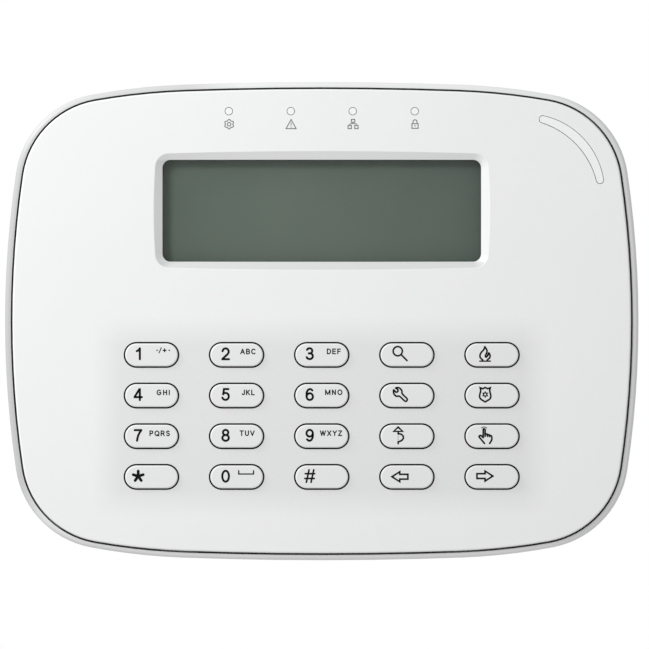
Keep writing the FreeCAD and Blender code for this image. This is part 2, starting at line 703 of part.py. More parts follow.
mat = [box("mat_sheet", -50.6, 50.6, BF + 0.02, 13.8, -43.4, -3.4)]
hollows, pills = [], []
for r in range(4):
    for c in range(5):
        x, z = COLUMNS[c], ROWS[r]
        mat.append(rod("dome_%d_%d" % (r, c), x, z, 13.7, 15.3, 3.9, 2.9))
        mat.append(rod("dome_top_%d_%d" % (r, c), x, z, 15.2, 16.6, 2.0))
        hollows.append(rod("hollow_%d_%d" % (r, c), x, z, 12.5, 14.6, 2.9, 2.1))
        pills.append(rod("pill_%d_%d" % (r, c), x, z, 14.12, 14.58, 1.5))
cut("keymat", fuse("mat_solid", mat), fuse("mat_hollows", hollows), True)
group("contact_pills", pills)
group("key_backlight_leds", [box("key_led_%d" % k, D("key_pitch_x") * (c + 0.5) - 0.8, D("key_pitch_x") * (c + 0.5) + 0.8, 10.0, BB - 0.02,
                                 ROWS[r] - 0.5, ROWS[r] + 0.5)
                             for k, (c, r) in enumerate([(c, r) for r in (0, 3) for c in (-2, -1, 0, 1)])])

# ---- lamps ----
lamp_posts = [rod("lamp_post_%d" % k, x, D("lamp_z"), 14.3, FACE + 0.04, D("lamp_radius")) for k, x in enumerate(LAMPS)]
fuse("indicator_light_pipe", lamp_posts + [box("lamp_rail", -25.2, 25.2, 18.0, 19.5, D("lamp_z") - 1.0, D("lamp_z") + 1.0)], True)
group("indicator_leds", [box("lamp_led_%d" % k, x - 0.8, x + 0.8, BF + 0.02, 13.7, D("lamp_z") - 0.5, D("lamp_z") + 0.5) for k, x in enumerate(LAMPS)])
b = body("status_light_guide")
s = sketch(b, "guide_outline", 15.0)
crescent(s, -0.14)
pad(b, s, FACE + 0.04 - 15.0, "guide")
s = sketch(b, "guide_flange_outline", 18.9)
crescent(s, 0.75)
pad(b, s, 0.8, "guide_flange")
group("status_leds", [box("status_led_%d" % k, x - 0.8, x + 0.8, BF + 0.02, 13.8, z - 0.8, z + 0.8)
                      for k, (x, z) in enumerate(((56.6, 48.4), (62.4, 44.2), (66.6, 38.2)))])

# ---- circuit board and what is on it ----
b = body("main_circuit_board")
s = sketch(b, "board_outline", BB)
outline(s, "line", "board_inset")
pad(b, s, BF - BB, "board")
s = sketch(b, "board_notches", BF + 0.2)
for sx in (1, -1):
    rect(s, D("hook_x") * sx - D("hook_width") * 0.5 - 0.8, D("hook_x") * sx + D("hook_width") * 0.5 + 0.8, D("hinge_z") - 7.1, D("hinge_z") + 1.0)
pocket(b, s, 3.0, "board_notches_cut")
s = sketch(b, "board_hole_outlines", BF + 0.2)
for x, z in BOSSES:
    circle(s, x, z, 1.5)
pocket(b, s, 3.0, "board_holes")
screws = []
for k, (x, z) in enumerate(BOSSES):
    blank = fuse("screw_blank_%d" % k, [rod("screw_head_%d" % k, x, z, 9.3, BB - 0.01, 2.1, 2.6), rod("screw_shank_%d" % k, x, z, BB - 0.3, 17.2, 1.14)])
    cross = fuse("screw_cross_%d" % k, [box("cross_a_%d" % k, x - 1.5, x + 1.5, 9.0, 10.3, z - 0.27, z + 0.27),
                                        box("cross_b_%d" % k, x - 0.27, x + 0.27, 9.0, 10.3, z - 1.5, z + 1.5)])
    screws.append(cut("screw_%d" % k, blank, cross))
group("board_screws", screws)
cut("piezo_sounder", rod("sounder_can", -47.0, 18.0, 5.6, BB - 0.02, 11.0, 11.4), rod("sounder_port", -47.0, 18.0, 5.0, 7.2, 1.6), True)


def chip(name, x, z, wx, wz, thick, pins_x=0, pins_z=0, pitch=0.8):
    """A chip on the wall side of the board, with its gull-wing leads as short bars."""
    parts = [box(name + "_case", x - wx / 2, x + wx / 2, BB - thick, BB - 0.12, z - wz / 2, z + wz / 2)]
    for k in range(pins_x):
        px = x + (k - (pins_x - 1) / 2.0) * pitch
        parts.append(box(name + "_px%d" % k, px - pitch * 0.25, px + pitch * 0.25, BB - 0.35, BB - 0.02, z - wz / 2 - 0.9, z + wz / 2 + 0.9))
    for k in range(pins_z):
        pz = z + (k - (pins_z - 1) / 2.0) * pitch
        parts.append(box(name + "_pz%d" % k, x - wx / 2 - 0.9, x + wx / 2 + 0.9, BB - 0.35, BB - 0.02, pz - pitch * 0.25, pz + pitch * 0.25))
    return fuse(name, parts, True)


chip("microcontroller", 8.0, 24.0, 10.0, 10.0, 1.6, 11, 11, 0.8)
chip("bus_transceiver", -18.0, 8.0, 5.0, 4.0, 1.6, 4, 0, 1.27)
chip("voltage_regulator", -24.0, -22.0, 6.5, 6.1, 2.3, 3, 0, 2.3)
box("crystal", -2.0, 2.0, 8.6, BB - 0.02, 34.0, 44.0, True)
group("capacitors", [rod("capacitor_%d" % k, x, z, 4.6, BB - 0.02, 3.15) for k, (x, z) in enumerate(((-36.0, -22.0), (-45.0, -22.0)))])
CHIPS = [(-12.0, 22.0), (-12.0, 25.0), (-12.0, 28.0), (20.0, 14.0), (23.0, 14.0), (26.0, 14.0), (24.0, 32.0), (27.0, 32.0), (30.0, 32.0),
         (-26.0, 2.0), (-26.0, -1.0), (-26.0, -4.0), (30.0, -30.0), (33.0, -30.0), (36.0, -30.0), (-8.0, 12.0), (-5.0, 12.0), (40.0, 8.0), (40.0, 5.0)]
group("chip_resistors", [box("resistor_%d" % k, x - 0.62, x + 0.62, 10.45, BB - 0.02, z - 1.0, z + 1.0) for k, (x, z) in enumerate(CHIPS)])
TX, TZ = -46.0, -40.0
tools = []
for k in range(4):
    x = TX - 7.5 + 5.0 * k
    tools.append(box("wire_port_%d" % k, x - 1.6, x + 1.6, 5.6, 9.0, TZ + 0.6, TZ + 6.0))
    tools.append(rod("screw_well_%d" % k, x, TZ - 0.6, 2.0, 8.4, 1.75))
cut("terminal_block", box("terminal_body", TX - 10.3, TX + 10.3, 3.0, BB - 0.02, TZ - 4.2, TZ + 4.4), fuse("terminal_tools", tools), True)
group("terminal_clamps", [box("clamp_%d" % k, TX - 8.95 + 5.0 * k, TX - 6.05 + 5.0 * k, 5.7, 6.3, TZ + 1.2, TZ + 3.9) for k in range(4)])
group("terminal_screws", [cut("terminal_screw_%d" % k, rod("terminal_screw_blank_%d" % k, TX - 7.5 + 5.0 * k, TZ - 0.6, 4.2, 8.2, 1.6),
                              box("terminal_slot_%d" % k, TX - 9.2 + 5.0 * k, TX - 5.8 + 5.0 * k, 4.0, 4.9, TZ - 0.9, TZ - 0.3)) for k in range(4)])

# ---- tamper switch: a tact switch, a cap that rests just off the housing's post, and the spring between board and cap ----
X, Z = D("tamper_x"), D("tamper_z")
fuse("tamper_switch", [box("switch_case", X - 3.0, X + 3.0, 7.7, BB - 0.02, Z - 3.0, Z + 3.0), rod("switch_button", X, Z, 7.25, 7.8, 1.6)], True)
fuse("tamper_plunger", [rod("plunger_disc", X, Z, 4.35, 5.15, 5.7), rod("plunger_stem", X, Z, 5.0, 6.9, 1.4)], True)
spring = doc.addObject("Part::Feature", "tamper_spring")
spring.Label = "tamper_spring"
coil_r, wire_r, h_low, h_top, turns, steps, sides = 4.95, 0.3, 5.5, 10.6, 4.0, 20, 8
# the coil is faceted: eight-sided wire sections set square to the helix, twenty to a turn
rise = (h_top - h_low) / (2 * math.pi * turns)
sections = []
for k in range(int(turns * steps) + 1):
    a = 2 * math.pi * k / steps
    out = FreeCAD.Vector(math.cos(a), math.sin(a), 0)
    along = FreeCAD.Vector(-coil_r * math.sin(a), coil_r * math.cos(a), rise).normalize()
    up = along.cross(out) * -1
    mid = out * coil_r + FreeCAD.Vector(0, 0, rise * a)
    sections.append([mid + out * (wire_r * math.cos(t)) + up * (wire_r * math.sin(t)) for t in [2 * math.pi * i / sides for i in range(sides)]])


def facet(*points):
    return Part.Face(Part.makePolygon(list(points) + [points[0]]))


facets = [facet(*sections[0]), facet(*sections[-1][::-1])]
for lower, upper in zip(sections, sections[1:]):
    for i in range(sides):
        j = (i + 1) % sides
        facets.append(facet(lower[i], lower[j], upper[j]))
        facets.append(facet(lower[i], upper[j], upper[i]))
coil = Part.Solid(Part.Shell(facets))
if coil.Volume < 0:
    coil.reverse()
spring.Shape = coil
spring.Placement = FreeCAD.Placement(FreeCAD.Vector(V["tamper_x"], -h_low, V["tamper_z"]), FreeCAD.Rotation(FreeCAD.Vector(1, 0, 0), 90))
NODES.append(spring)

doc.recompute()

# ---- every object must be sound before anything is written ----
bad = [o.Label for o in doc.Objects if set(o.State) & {"Invalid", "Error"}]
for o in NODES:
    if o.Shape.isNull() or not o.Shape.isValid() or not o.Shape.Solids:
        bad.append(o.Label + " (shape)")
if bad:
    raise RuntimeError("not sound: " + ", ".join(bad))
os.makedirs("parts", exist_ok=True)
for old in os.listdir("parts"):
    if old.endswith(".step"):
        os.remove(os.path.join("parts", old))
for o in NODES:
    o.Shape.exportStep("parts/%s.step" % o.Label)
    bb = o.Shape.BoundBox
    print("%-24s solids %2d  vol %10.2f  x %.2f..%.2f  y %.2f..%.2f  z %.2f..%.2f" % (
        o.Label, len(o.Shape.Solids), o.Shape.Volume, bb.XMin, bb.XMax, bb.YMin, bb.YMax, bb.ZMin, bb.ZMax))
print("nodes", len(NODES))
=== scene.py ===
import bpy, bmesh, math
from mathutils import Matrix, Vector


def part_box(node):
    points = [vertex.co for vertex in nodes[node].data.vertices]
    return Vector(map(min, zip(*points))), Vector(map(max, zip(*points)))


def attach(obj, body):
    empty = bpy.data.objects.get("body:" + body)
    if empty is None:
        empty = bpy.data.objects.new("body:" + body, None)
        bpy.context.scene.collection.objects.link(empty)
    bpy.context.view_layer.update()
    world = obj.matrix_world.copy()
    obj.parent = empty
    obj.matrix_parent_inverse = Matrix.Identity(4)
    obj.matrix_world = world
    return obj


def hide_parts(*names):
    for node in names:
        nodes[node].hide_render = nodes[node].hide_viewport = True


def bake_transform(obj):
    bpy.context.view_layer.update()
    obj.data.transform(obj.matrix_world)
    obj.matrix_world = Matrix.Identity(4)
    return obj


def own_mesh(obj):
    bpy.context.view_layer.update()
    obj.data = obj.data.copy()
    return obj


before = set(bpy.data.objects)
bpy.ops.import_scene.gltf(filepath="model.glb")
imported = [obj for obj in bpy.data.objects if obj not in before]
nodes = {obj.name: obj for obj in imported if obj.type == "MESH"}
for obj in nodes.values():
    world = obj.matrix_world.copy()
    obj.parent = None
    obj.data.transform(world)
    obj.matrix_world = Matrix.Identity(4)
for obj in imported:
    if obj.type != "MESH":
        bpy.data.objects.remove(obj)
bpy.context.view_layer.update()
MM = 0.001
scene = bpy.context.scene
scene.view_settings.view_transform = "Standard"
scene.view_settings.look = "None"
scene.view_settings.exposure = 0.0
scene.view_settings.gamma = 1.0

# ------------------------------------------------------------------ camera
# straight on, from far away; the object sits a little left of and above the picture's middle
DIST = 3.0
WIDE = 0.15884
cam_data = bpy.data.cameras.new("camera")
cam = bpy.data.objects.new("camera", cam_data)
scene.collection.objects.link(cam)
cam_data.sensor_width = 36.0
cam_data.lens = 36.0 * DIST / WIDE
cam_data.clip_start, cam_data.clip_end = 0.5, 20.0
cam.location = (0.00067, -DIST - 0.019, -0.00082)
cam.rotation_euler = (math.radians(90), 0, 0)
scene.camera = cam

# ------------------------------------------------------------------ materials
def srgb(*c):
    return tuple(((x / 255.0 + 0.055) / 1.055) ** 2.4 if x > 10 else x / 255.0 / 12.92 for x in c)


class Nodes:
    """A material's node tree, with short calls to add and join nodes."""

    def __init__(self, name):
        self.mat = bpy.data.materials.new(name)
        self.mat.use_nodes = True
        self.t = self.mat.node_tree
        self.bsdf = self.t.nodes["Principled BSDF"]
        self.out = self.t.nodes["Material Output"]
        self.pos = self.add("ShaderNodeTexCoord").outputs["Object"]

    def add(self, kind, **props):
        n = self.t.nodes.new(kind)
        for k, v in props.items():
            setattr(n, k, v)
        return n

    def join(self, a, b):
        self.t.links.new(a, b)

    def noise(self, scale, detail=3.0, rough=0.55, vector=None):
        n = self.add("ShaderNodeTexNoise")
        n.inputs["Scale"].default_value = scale
        n.inputs["Detail"].default_value = detail
        n.inputs["Roughness"].default_value = rough
        self.join(vector or self.pos, n.inputs["Vector"])
        return n.outputs["Fac"]

    def spread(self, value, lo, hi, frm=0.3, to=0.7):
        n = self.add("ShaderNodeMapRange")
        n.inputs["From Min"].default_value = frm
        n.inputs["From Max"].default_value = to
        n.inputs["To Min"].default_value = lo
        n.inputs["To Max"].default_value = hi
        self.join(value, n.inputs["Value"])
        return n.outputs["Result"]

    def blend(self, fac, a, b):
        n = self.add("ShaderNodeMix", data_type="RGBA")
        if hasattr(fac, "links"):
            self.join(fac, n.inputs[0])
        else:
            n.inputs[0].default_value = fac
        for k, c in ((6, a), (7, b)):
            if hasattr(c, "links"):
                self.join(c, n.inputs[k])
            else:
                n.inputs[k].default_value = (*c, 1)
        return n.outputs[2]

    def math(self, op, a, b=None):
        n = self.add("ShaderNodeMath", operation=op)
        for k, v in enumerate((a, b)):
            if v is None:
                continue
            if hasattr(v, "links"):
                self.join(v, n.inputs[k])
            else:
                n.inputs[k].default_value = v
        return n.outputs[0]

    def bump(self, height, distance, strength=1.0, base=None):
        n = self.add("ShaderNodeBump")
        n.inputs["Distance"].default_value = distance
        n.inputs["Strength"].default_value = strength
        self.join(height, n.inputs["Height"])
        if base is not None:
            self.join(base, n.inputs["Normal"])
        return n.outputs["Normal"]

    def split(self):
        n = self.add("ShaderNodeSeparateXYZ")
        self.join(self.pos, n.inputs[0])
        return n.outputs

    def set(self, **kw):
        for k, v in kw.items():
            s = self.bsdf.inputs[k.replace("_", " ")]
            if hasattr(v, "links"):
                self.join(v, s)
            else:
                s.default_value = (*v, 1) if isinstance(v, tuple) else v
        return self


def plastic(name, colour, rough=0.42, grain=5200.0, depth=0.000010, shift=0.03, dusty=0.05, specular=0.45, painted_shade=(), wear=0.0):
    """Moulded plastic: spark-eroded grain, slow colour drift, faint handling marks in the gloss, edges rubbed a little.

    The boxes given as (x range, y range, z range, softness, colour) are painted shade: there the base colour is blended
    towards a darker colour that stands in for shadow in gaps and recesses and on sides turned from the light.
    """
    m = Nodes(name)
    slow = m.noise(22.0, 4.0)
    cloud = m.noise(140.0, 5.0, 0.6)
    lighter = tuple(min(1.0, c * (1 + shift)) for c in colour)
    darker = tuple(c * (1 - shift) for c in colour)
    col = m.blend(m.spread(slow, 0.0, 1.0), darker, lighter)
    if wear:
        point = m.add("ShaderNodeNewGeometry").outputs["Pointiness"]
        rubbed = m.math("MULTIPLY", m.spread(point, 0.0, wear, 0.52, 0.62), m.spread(m.noise(420.0, 4.0), 0.3, 1.0))
        col = m.blend(rubbed, col, tuple(min(1.0, c * 1.12) for c in colour))
    # painted shade: inside each listed box the base colour is blended towards that box's darker colour
    if painted_shade:
        axes = m.split()
        for xr, yr, zr, soft, shade in painted_shade:
            fac = None
            for value, pair in zip(axes, (xr, yr, zr)):
                if pair is None:
                    continue
                mid, half = (pair[0] + pair[1]) / 2 * MM, (pair[1] - pair[0]) / 2 * MM
                away = m.math("ABSOLUTE", m.math("SUBTRACT", value, mid))
                s1 = soft * MM if pair is not yr else min(soft, 0.06) * MM
                part = m.spread(away, 1.0, 0.0, half - s1, half)
                fac = part if fac is None else m.math("MULTIPLY", fac, part)
            col = m.blend(fac, col, shade)
    fine = m.noise(grain, 2.0, 0.5)
    m.set(Base_Color=col, Roughness=m.spread(cloud, rough - dusty, rough + dusty), Normal=m.bump(fine, depth, 0.5))
    m.bsdf.inputs["Specular IOR Level"].default_value = specular
    return m.mat


WHITE = srgb(240, 241, 241)
HOUSE = srgb(228, 229, 229)
materials = {}
# painted shade: the cover's key field a little darker, standing in for the soft shadows the keys cast
KEY_FIELD_SHADE = tuple(c * 0.895 for c in WHITE)
# painted shade: near-black laid on walls deep in the gaps around the keys and the display window, where shade falls
GAP_SHADE = srgb(24, 24, 25)
materials["cover"] = plastic("cover_plastic", WHITE, 0.46, 5200.0, 0.000010, 0.006, wear=0.15, painted_shade=[
    # painted shade: the key field darkened for the keys' soft shadows, and the walls of the key openings painted
    # near-black as shade in the gaps
    ((-56, 56), None, (-48, 1), 7.0, KEY_FIELD_SHADE), ((-54, 54), (-21.78, -19.86), (-46, -1), 0.1, GAP_SHADE),
    # painted shade on the display recess's sloping sides, set by how each side faces the light: 0.87 of the white
    # overall, top 0.975, right 0.935, bottom 0.76
    ((-43, 43), (-21.96, -20.7), (11, 43), 0.1, tuple(c * 0.87 for c in WHITE)),
    ((-40.4, 40.4), (-21.96, -20.7), (39.2, 43), 0.4, tuple(c * 0.975 for c in WHITE)),
    ((38.8, 43), (-21.96, -20.7), (13.4, 40.6), 0.4, tuple(c * 0.935 for c in WHITE)),
    ((-40.4, 40.4), (-21.96, -20.7), (11, 14.7), 0.4, tuple(c * 0.76 for c in WHITE)),
    # painted shade: the walls of the display window's opening painted near-black
    ((-40.2, 40.2), (-20.82, -19.86), (13.2, 40.8), 0.1, GAP_SHADE)])
materials["housing"] = plastic("housing_plastic", HOUSE, 0.46, 4800.0, 0.000012, 0.008, wear=0.12, painted_shade=[
    # painted shade: the rim darkened at its upper-left corner (0.775) and further along its left side (0.66)
    ((-84, -20), (-30, -17), (26, 75), 13.0, tuple(c * 0.775 for c in HOUSE)),
    ((-90, -68), (-30, -17), None, 6.0, tuple(c * 0.66 for c in HOUSE))])
materials["key"] = plastic("key_plastic", srgb(233, 234, 234), 0.40, 6800.0, 0.000006, 0.006, painted_shade=[
    # painted shade: each key's side wall below its top edge painted near-black as shade in the gap around the key
    (None, (-22.22, -18.0), None, 0.1, GAP_SHADE)])


def metal(name, colour, rough=0.3, streak=900.0, depth=0.000004):
    m = Nodes(name)
    stretch = m.add("ShaderNodeMapping")
    stretch.inputs["Scale"].default_value = (1.0, 1.0, 0.06)
    m.join(m.pos, stretch.inputs["Vector"])
    lines = m.noise(streak, 3.0, 0.6, stretch.outputs[0])
    worn = m.noise(260.0, 5.0, 0.65)
    col = m.blend(m.spread(worn, 0.0, 1.0), tuple(c * 0.82 for c in colour), colour)
    m.set(Base_Color=col, Roughness=m.spread(worn, rough - 0.08, rough + 0.12), Normal=m.bump(lines, depth, 0.6))
    m.bsdf.inputs["Metallic"].default_value = 1.0
    return m.mat


materials["zinc"] = metal("zinc_steel", srgb(196, 198, 200), 0.3)
materials["bright_can"] = metal("bright_can", srgb(214, 214, 216), 0.26, 500.0)
materials["steel_sheet"] = metal("steel_sheet", srgb(92, 93, 96), 0.42)
materials["spring_steel"] = metal("spring_steel", srgb(188, 188, 192), 0.22, 1500.0)
materials["brass"] = metal("clamp_brass", srgb(205, 178, 110), 0.3)
materials["black_plastic"] = plastic("black_plastic", srgb(34, 35, 36), 0.5, 3000.0, 0.000014, 0.12)
materials["chip_epoxy"] = plastic("chip_epoxy", srgb(42, 42, 44), 0.62, 5200.0, 0.000016, 0.15)
materials["foam"] = plastic("black_foam", srgb(26, 26, 26), 0.9, 1800.0, 0.00008, 0.25)
materials["carbon"] = plastic("carbon_pill", srgb(30, 30, 31), 0.8, 2400.0, 0.00002, 0.2)
materials["silicone"] = plastic("silicone_mat", srgb(120, 122, 122), 0.6, 2600.0, 0.000012, 0.05)
materials["terminal"] = plastic("terminal_plastic", srgb(66, 138, 84), 0.42, 3600.0, 0.00001, 0.06)
materials["plunger"] = plastic("plunger_plastic", srgb(228, 228, 224), 0.4, 3600.0, 0.00001, 0.03)
materials["led"] = plastic("led_package", srgb(240, 236, 214), 0.3, 3000.0, 0.000004, 0.05)
materials["guide"] = plastic("milky_guide", srgb(246, 247, 247), 0.34, 5600.0, 0.000006, 0.01)
materials["diffuser"] = plastic("milky_diffuser", srgb(226, 232, 214), 0.35, 4200.0, 0.000006, 0.03)
materials["ink"] = plastic("legend_ink", srgb(11, 11, 12), 0.6, 9000.0, 0.000003, 0.2, specular=0.12)
materials["grey_ink"] = plastic("grey_legend_ink", srgb(122, 123, 124), 0.6, 9000.0, 0.000003, 0.08, specular=0.2)

def leaded(name, cx, cz, wx, wz, dot):
    """A chip: matt epoxy inside its case outline, tinned leads outside it, and a small moulded dimple at the first lead."""
    m = Nodes(name)
    x, y, z = m.split()
    dx, dz = m.math("ABSOLUTE", m.math("SUBTRACT", x, cx * MM)), m.math("ABSOLUTE", m.math("SUBTRACT", z, cz * MM))
    inside = m.math("MULTIPLY", m.math("LESS_THAN", dx, (wx / 2 + 0.005) * MM), m.math("LESS_THAN", dz, (wz / 2 + 0.005) * MM))
    ex, ez = m.math("SUBTRACT", x, dot[0] * MM), m.math("SUBTRACT", z, dot[1] * MM)
    away = m.math("SQRT", m.math("ADD", m.math("MULTIPLY", ex, ex), m.math("MULTIPLY", ez, ez)))
    ring = m.spread(away, 1.0, 0.0, 0.00042, 0.00052)
    grit = m.noise(3200.0, 3.0)
    body = m.blend(m.spread(grit, 0.0, 1.0), srgb(33, 33, 35), srgb(47, 47, 49))
    body = m.blend(m.math("MULTIPLY", ring, 0.6), body, srgb(84, 84, 86))
    tin = m.blend(m.spread(m.noise(900.0, 4.0), 0.0, 1.0), srgb(168, 170, 172), srgb(206, 207, 209))
    m.set(Base_Color=m.blend(inside, tin, body), Roughness=m.math("ADD", m.math("MULTIPLY", inside, 0.32), m.spread(grit, 0.26, 0.36)),
          Metallic=m.math("SUBTRACT", 1.0, inside), Normal=m.bump(m.math("SUBTRACT", grit, m.math("MULTIPLY", ring, 3.0)), 0.00002, 0.5))
    return m.mat


materials["mcu"] = leaded("microcontroller_case", 8.0, 24.0, 10.0, 10.0, (4.1, 27.9))
materials["bus_chip"] = leaded("bus_chip_case", -18.0, 8.0, 5.0, 4.0, (-19.8, 9.3))
materials["regulator"] = leaded("regulator_case", -24.0, -22.0, 6.5, 6.1, (-26.4, -19.9))
materials["tin"] = metal("solder_tin", srgb(200, 202, 204), 0.28, 700.0)
materials["silk"] = plastic("silkscreen_white", srgb(226, 228, 222), 0.6, 5000.0, 0.000004, 0.03)

# display panel: polariser film over grey-green liquid crystal, with a slow drift in tone and a fine speckle in its
# surface
m = Nodes("lcd_panel")
x, y, z = m.split()
drift = m.noise(14.0, 3.0)
base = m.blend(m.spread(drift, 0.0, 1.0), srgb(100, 112, 102), srgb(106, 118, 108))
# painted shade: the display darker towards its right edge and, a little, towards its left edge
side = m.spread(x, 0.0, 1.0, -0.006, 0.040)
base = m.blend(side, base, srgb(92, 104, 95))
side = m.spread(x, 0.0, 1.0, -0.039, -0.012)
base = m.blend(side, srgb(97, 110, 100), base)
speck = m.noise(3800.0, 2.0, 0.5)
m.set(Base_Color=base, Roughness=m.spread(m.noise(300.0, 4.0), 0.34, 0.46), Normal=m.bump(speck, 0.000004, 0.4))
m.bsdf.inputs["Specular IOR Level"].default_value = 0.2
materials["lcd"] = m.mat

# clear window: a thin gloss over a straight see-through, so light and shadow reach the display behind it
m = Nodes("clear_window")
m.t.nodes.remove(m.bsdf)
glossy = m.add("ShaderNodeBsdfGlossy")
glossy.inputs["Color"].default_value = (1, 1, 1, 1)
wipe = m.noise(60.0, 5.0, 0.7)
m.join(m.spread(wipe, 0.03, 0.09), glossy.inputs["Roughness"])
clear = m.add("ShaderNodeBsdfTransparent")
m.join(m.blend(m.spread(wipe, 0.0, 1.0), (0.955, 0.965, 0.96), (0.97, 0.975, 0.972)), clear.inputs["Color"])
fres = m.add("ShaderNodeFresnel")
fres.inputs["IOR"].default_value = 1.42
mix = m.add("ShaderNodeMixShader")
front = m.math("SUBTRACT", 1.0, m.add("ShaderNodeNewGeometry").outputs["Backfacing"])
m.join(m.math("MULTIPLY", fres.outputs[0], front), mix.inputs[0])
m.join(clear.outputs[0], mix.inputs[1])
m.join(glossy.outputs[0], mix.inputs[2])
m.join(mix.outputs[0], m.out.inputs["Surface"])
materials["window"] = m.mat

# circuit board: green solder mask over a pattern of tracks, pads and a ground plane
m = Nodes("circuit_board")
x, y, z = m.split()
grid = m.add("ShaderNodeTexBrick")
grid.inputs["Scale"].default_value = 160.0
grid.inputs["Mortar Size"].default_value = 0.055
grid.inputs["Mortar Smooth"].default_value = 0.1
grid.offset = 0.37
grid.squash = 0.6
grid.squash_frequency = 3
turned = m.add("ShaderNodeMapping")
turned.inputs["Rotation"].default_value = (math.radians(90), 0, 0)
m.join(m.pos, turned.inputs["Vector"])
m.join(turned.outputs[0], grid.inputs["Vector"])
plane = m.spread(m.noise(34.0, 1.0), 0.0, 1.0, 0.47, 0.5)
track = m.math("MULTIPLY", m.math("SUBTRACT", 1.0, grid.outputs["Fac"]), plane)
copper = m.math("SUBTRACT", 1.0, track)
mask = m.blend(copper, srgb(16, 74, 40), srgb(28, 104, 58))
mask = m.blend(m.spread(m.noise(40.0, 4.0), 0.0, 0.25), mask, srgb(12, 60, 34))
m.set(Base_Color=mask, Roughness=m.spread(m.noise(220.0, 4.0), 0.22, 0.36), Normal=m.bump(copper, 0.00004, 0.5))
materials["board"] = m.mat


def wear(node, key):
    o = nodes[node]
    o.data.materials.clear()
    o.data.materials.append(materials[key])


USE = {
    "rear_housing": "housing", "front_cover": "cover", "display_window": "window", "lcd_dust_gasket": "foam", "lcd_bezel": "steel_sheet",
    "lcd_glass": "lcd", "lcd_light_guide": "diffuser", "lcd_zebra_strips": "foam", "lcd_backlight_leds": "led", "keymat": "silicone",
    "contact_pills": "carbon", "key_backlight_leds": "led", "indicator_light_pipe": "guide", "indicator_leds": "led", "status_light_guide": "guide",
    "status_leds": "led", "main_circuit_board": "board", "board_screws": "zinc", "piezo_sounder": "black_plastic", "microcontroller": "mcu",
    "bus_transceiver": "bus_chip", "voltage_regulator": "regulator", "crystal": "bright_can", "capacitors": "bright_can", "chip_resistors": "chip_epoxy",
    "terminal_block": "terminal", "terminal_clamps": "brass", "terminal_screws": "zinc", "tamper_switch": "black_plastic", "tamper_plunger": "plunger",
    "tamper_spring": "spring_steel",
}
for n in nodes:
    wear(n, "key" if n.startswith("key_") and n != "key_backlight_leds" else USE[n])

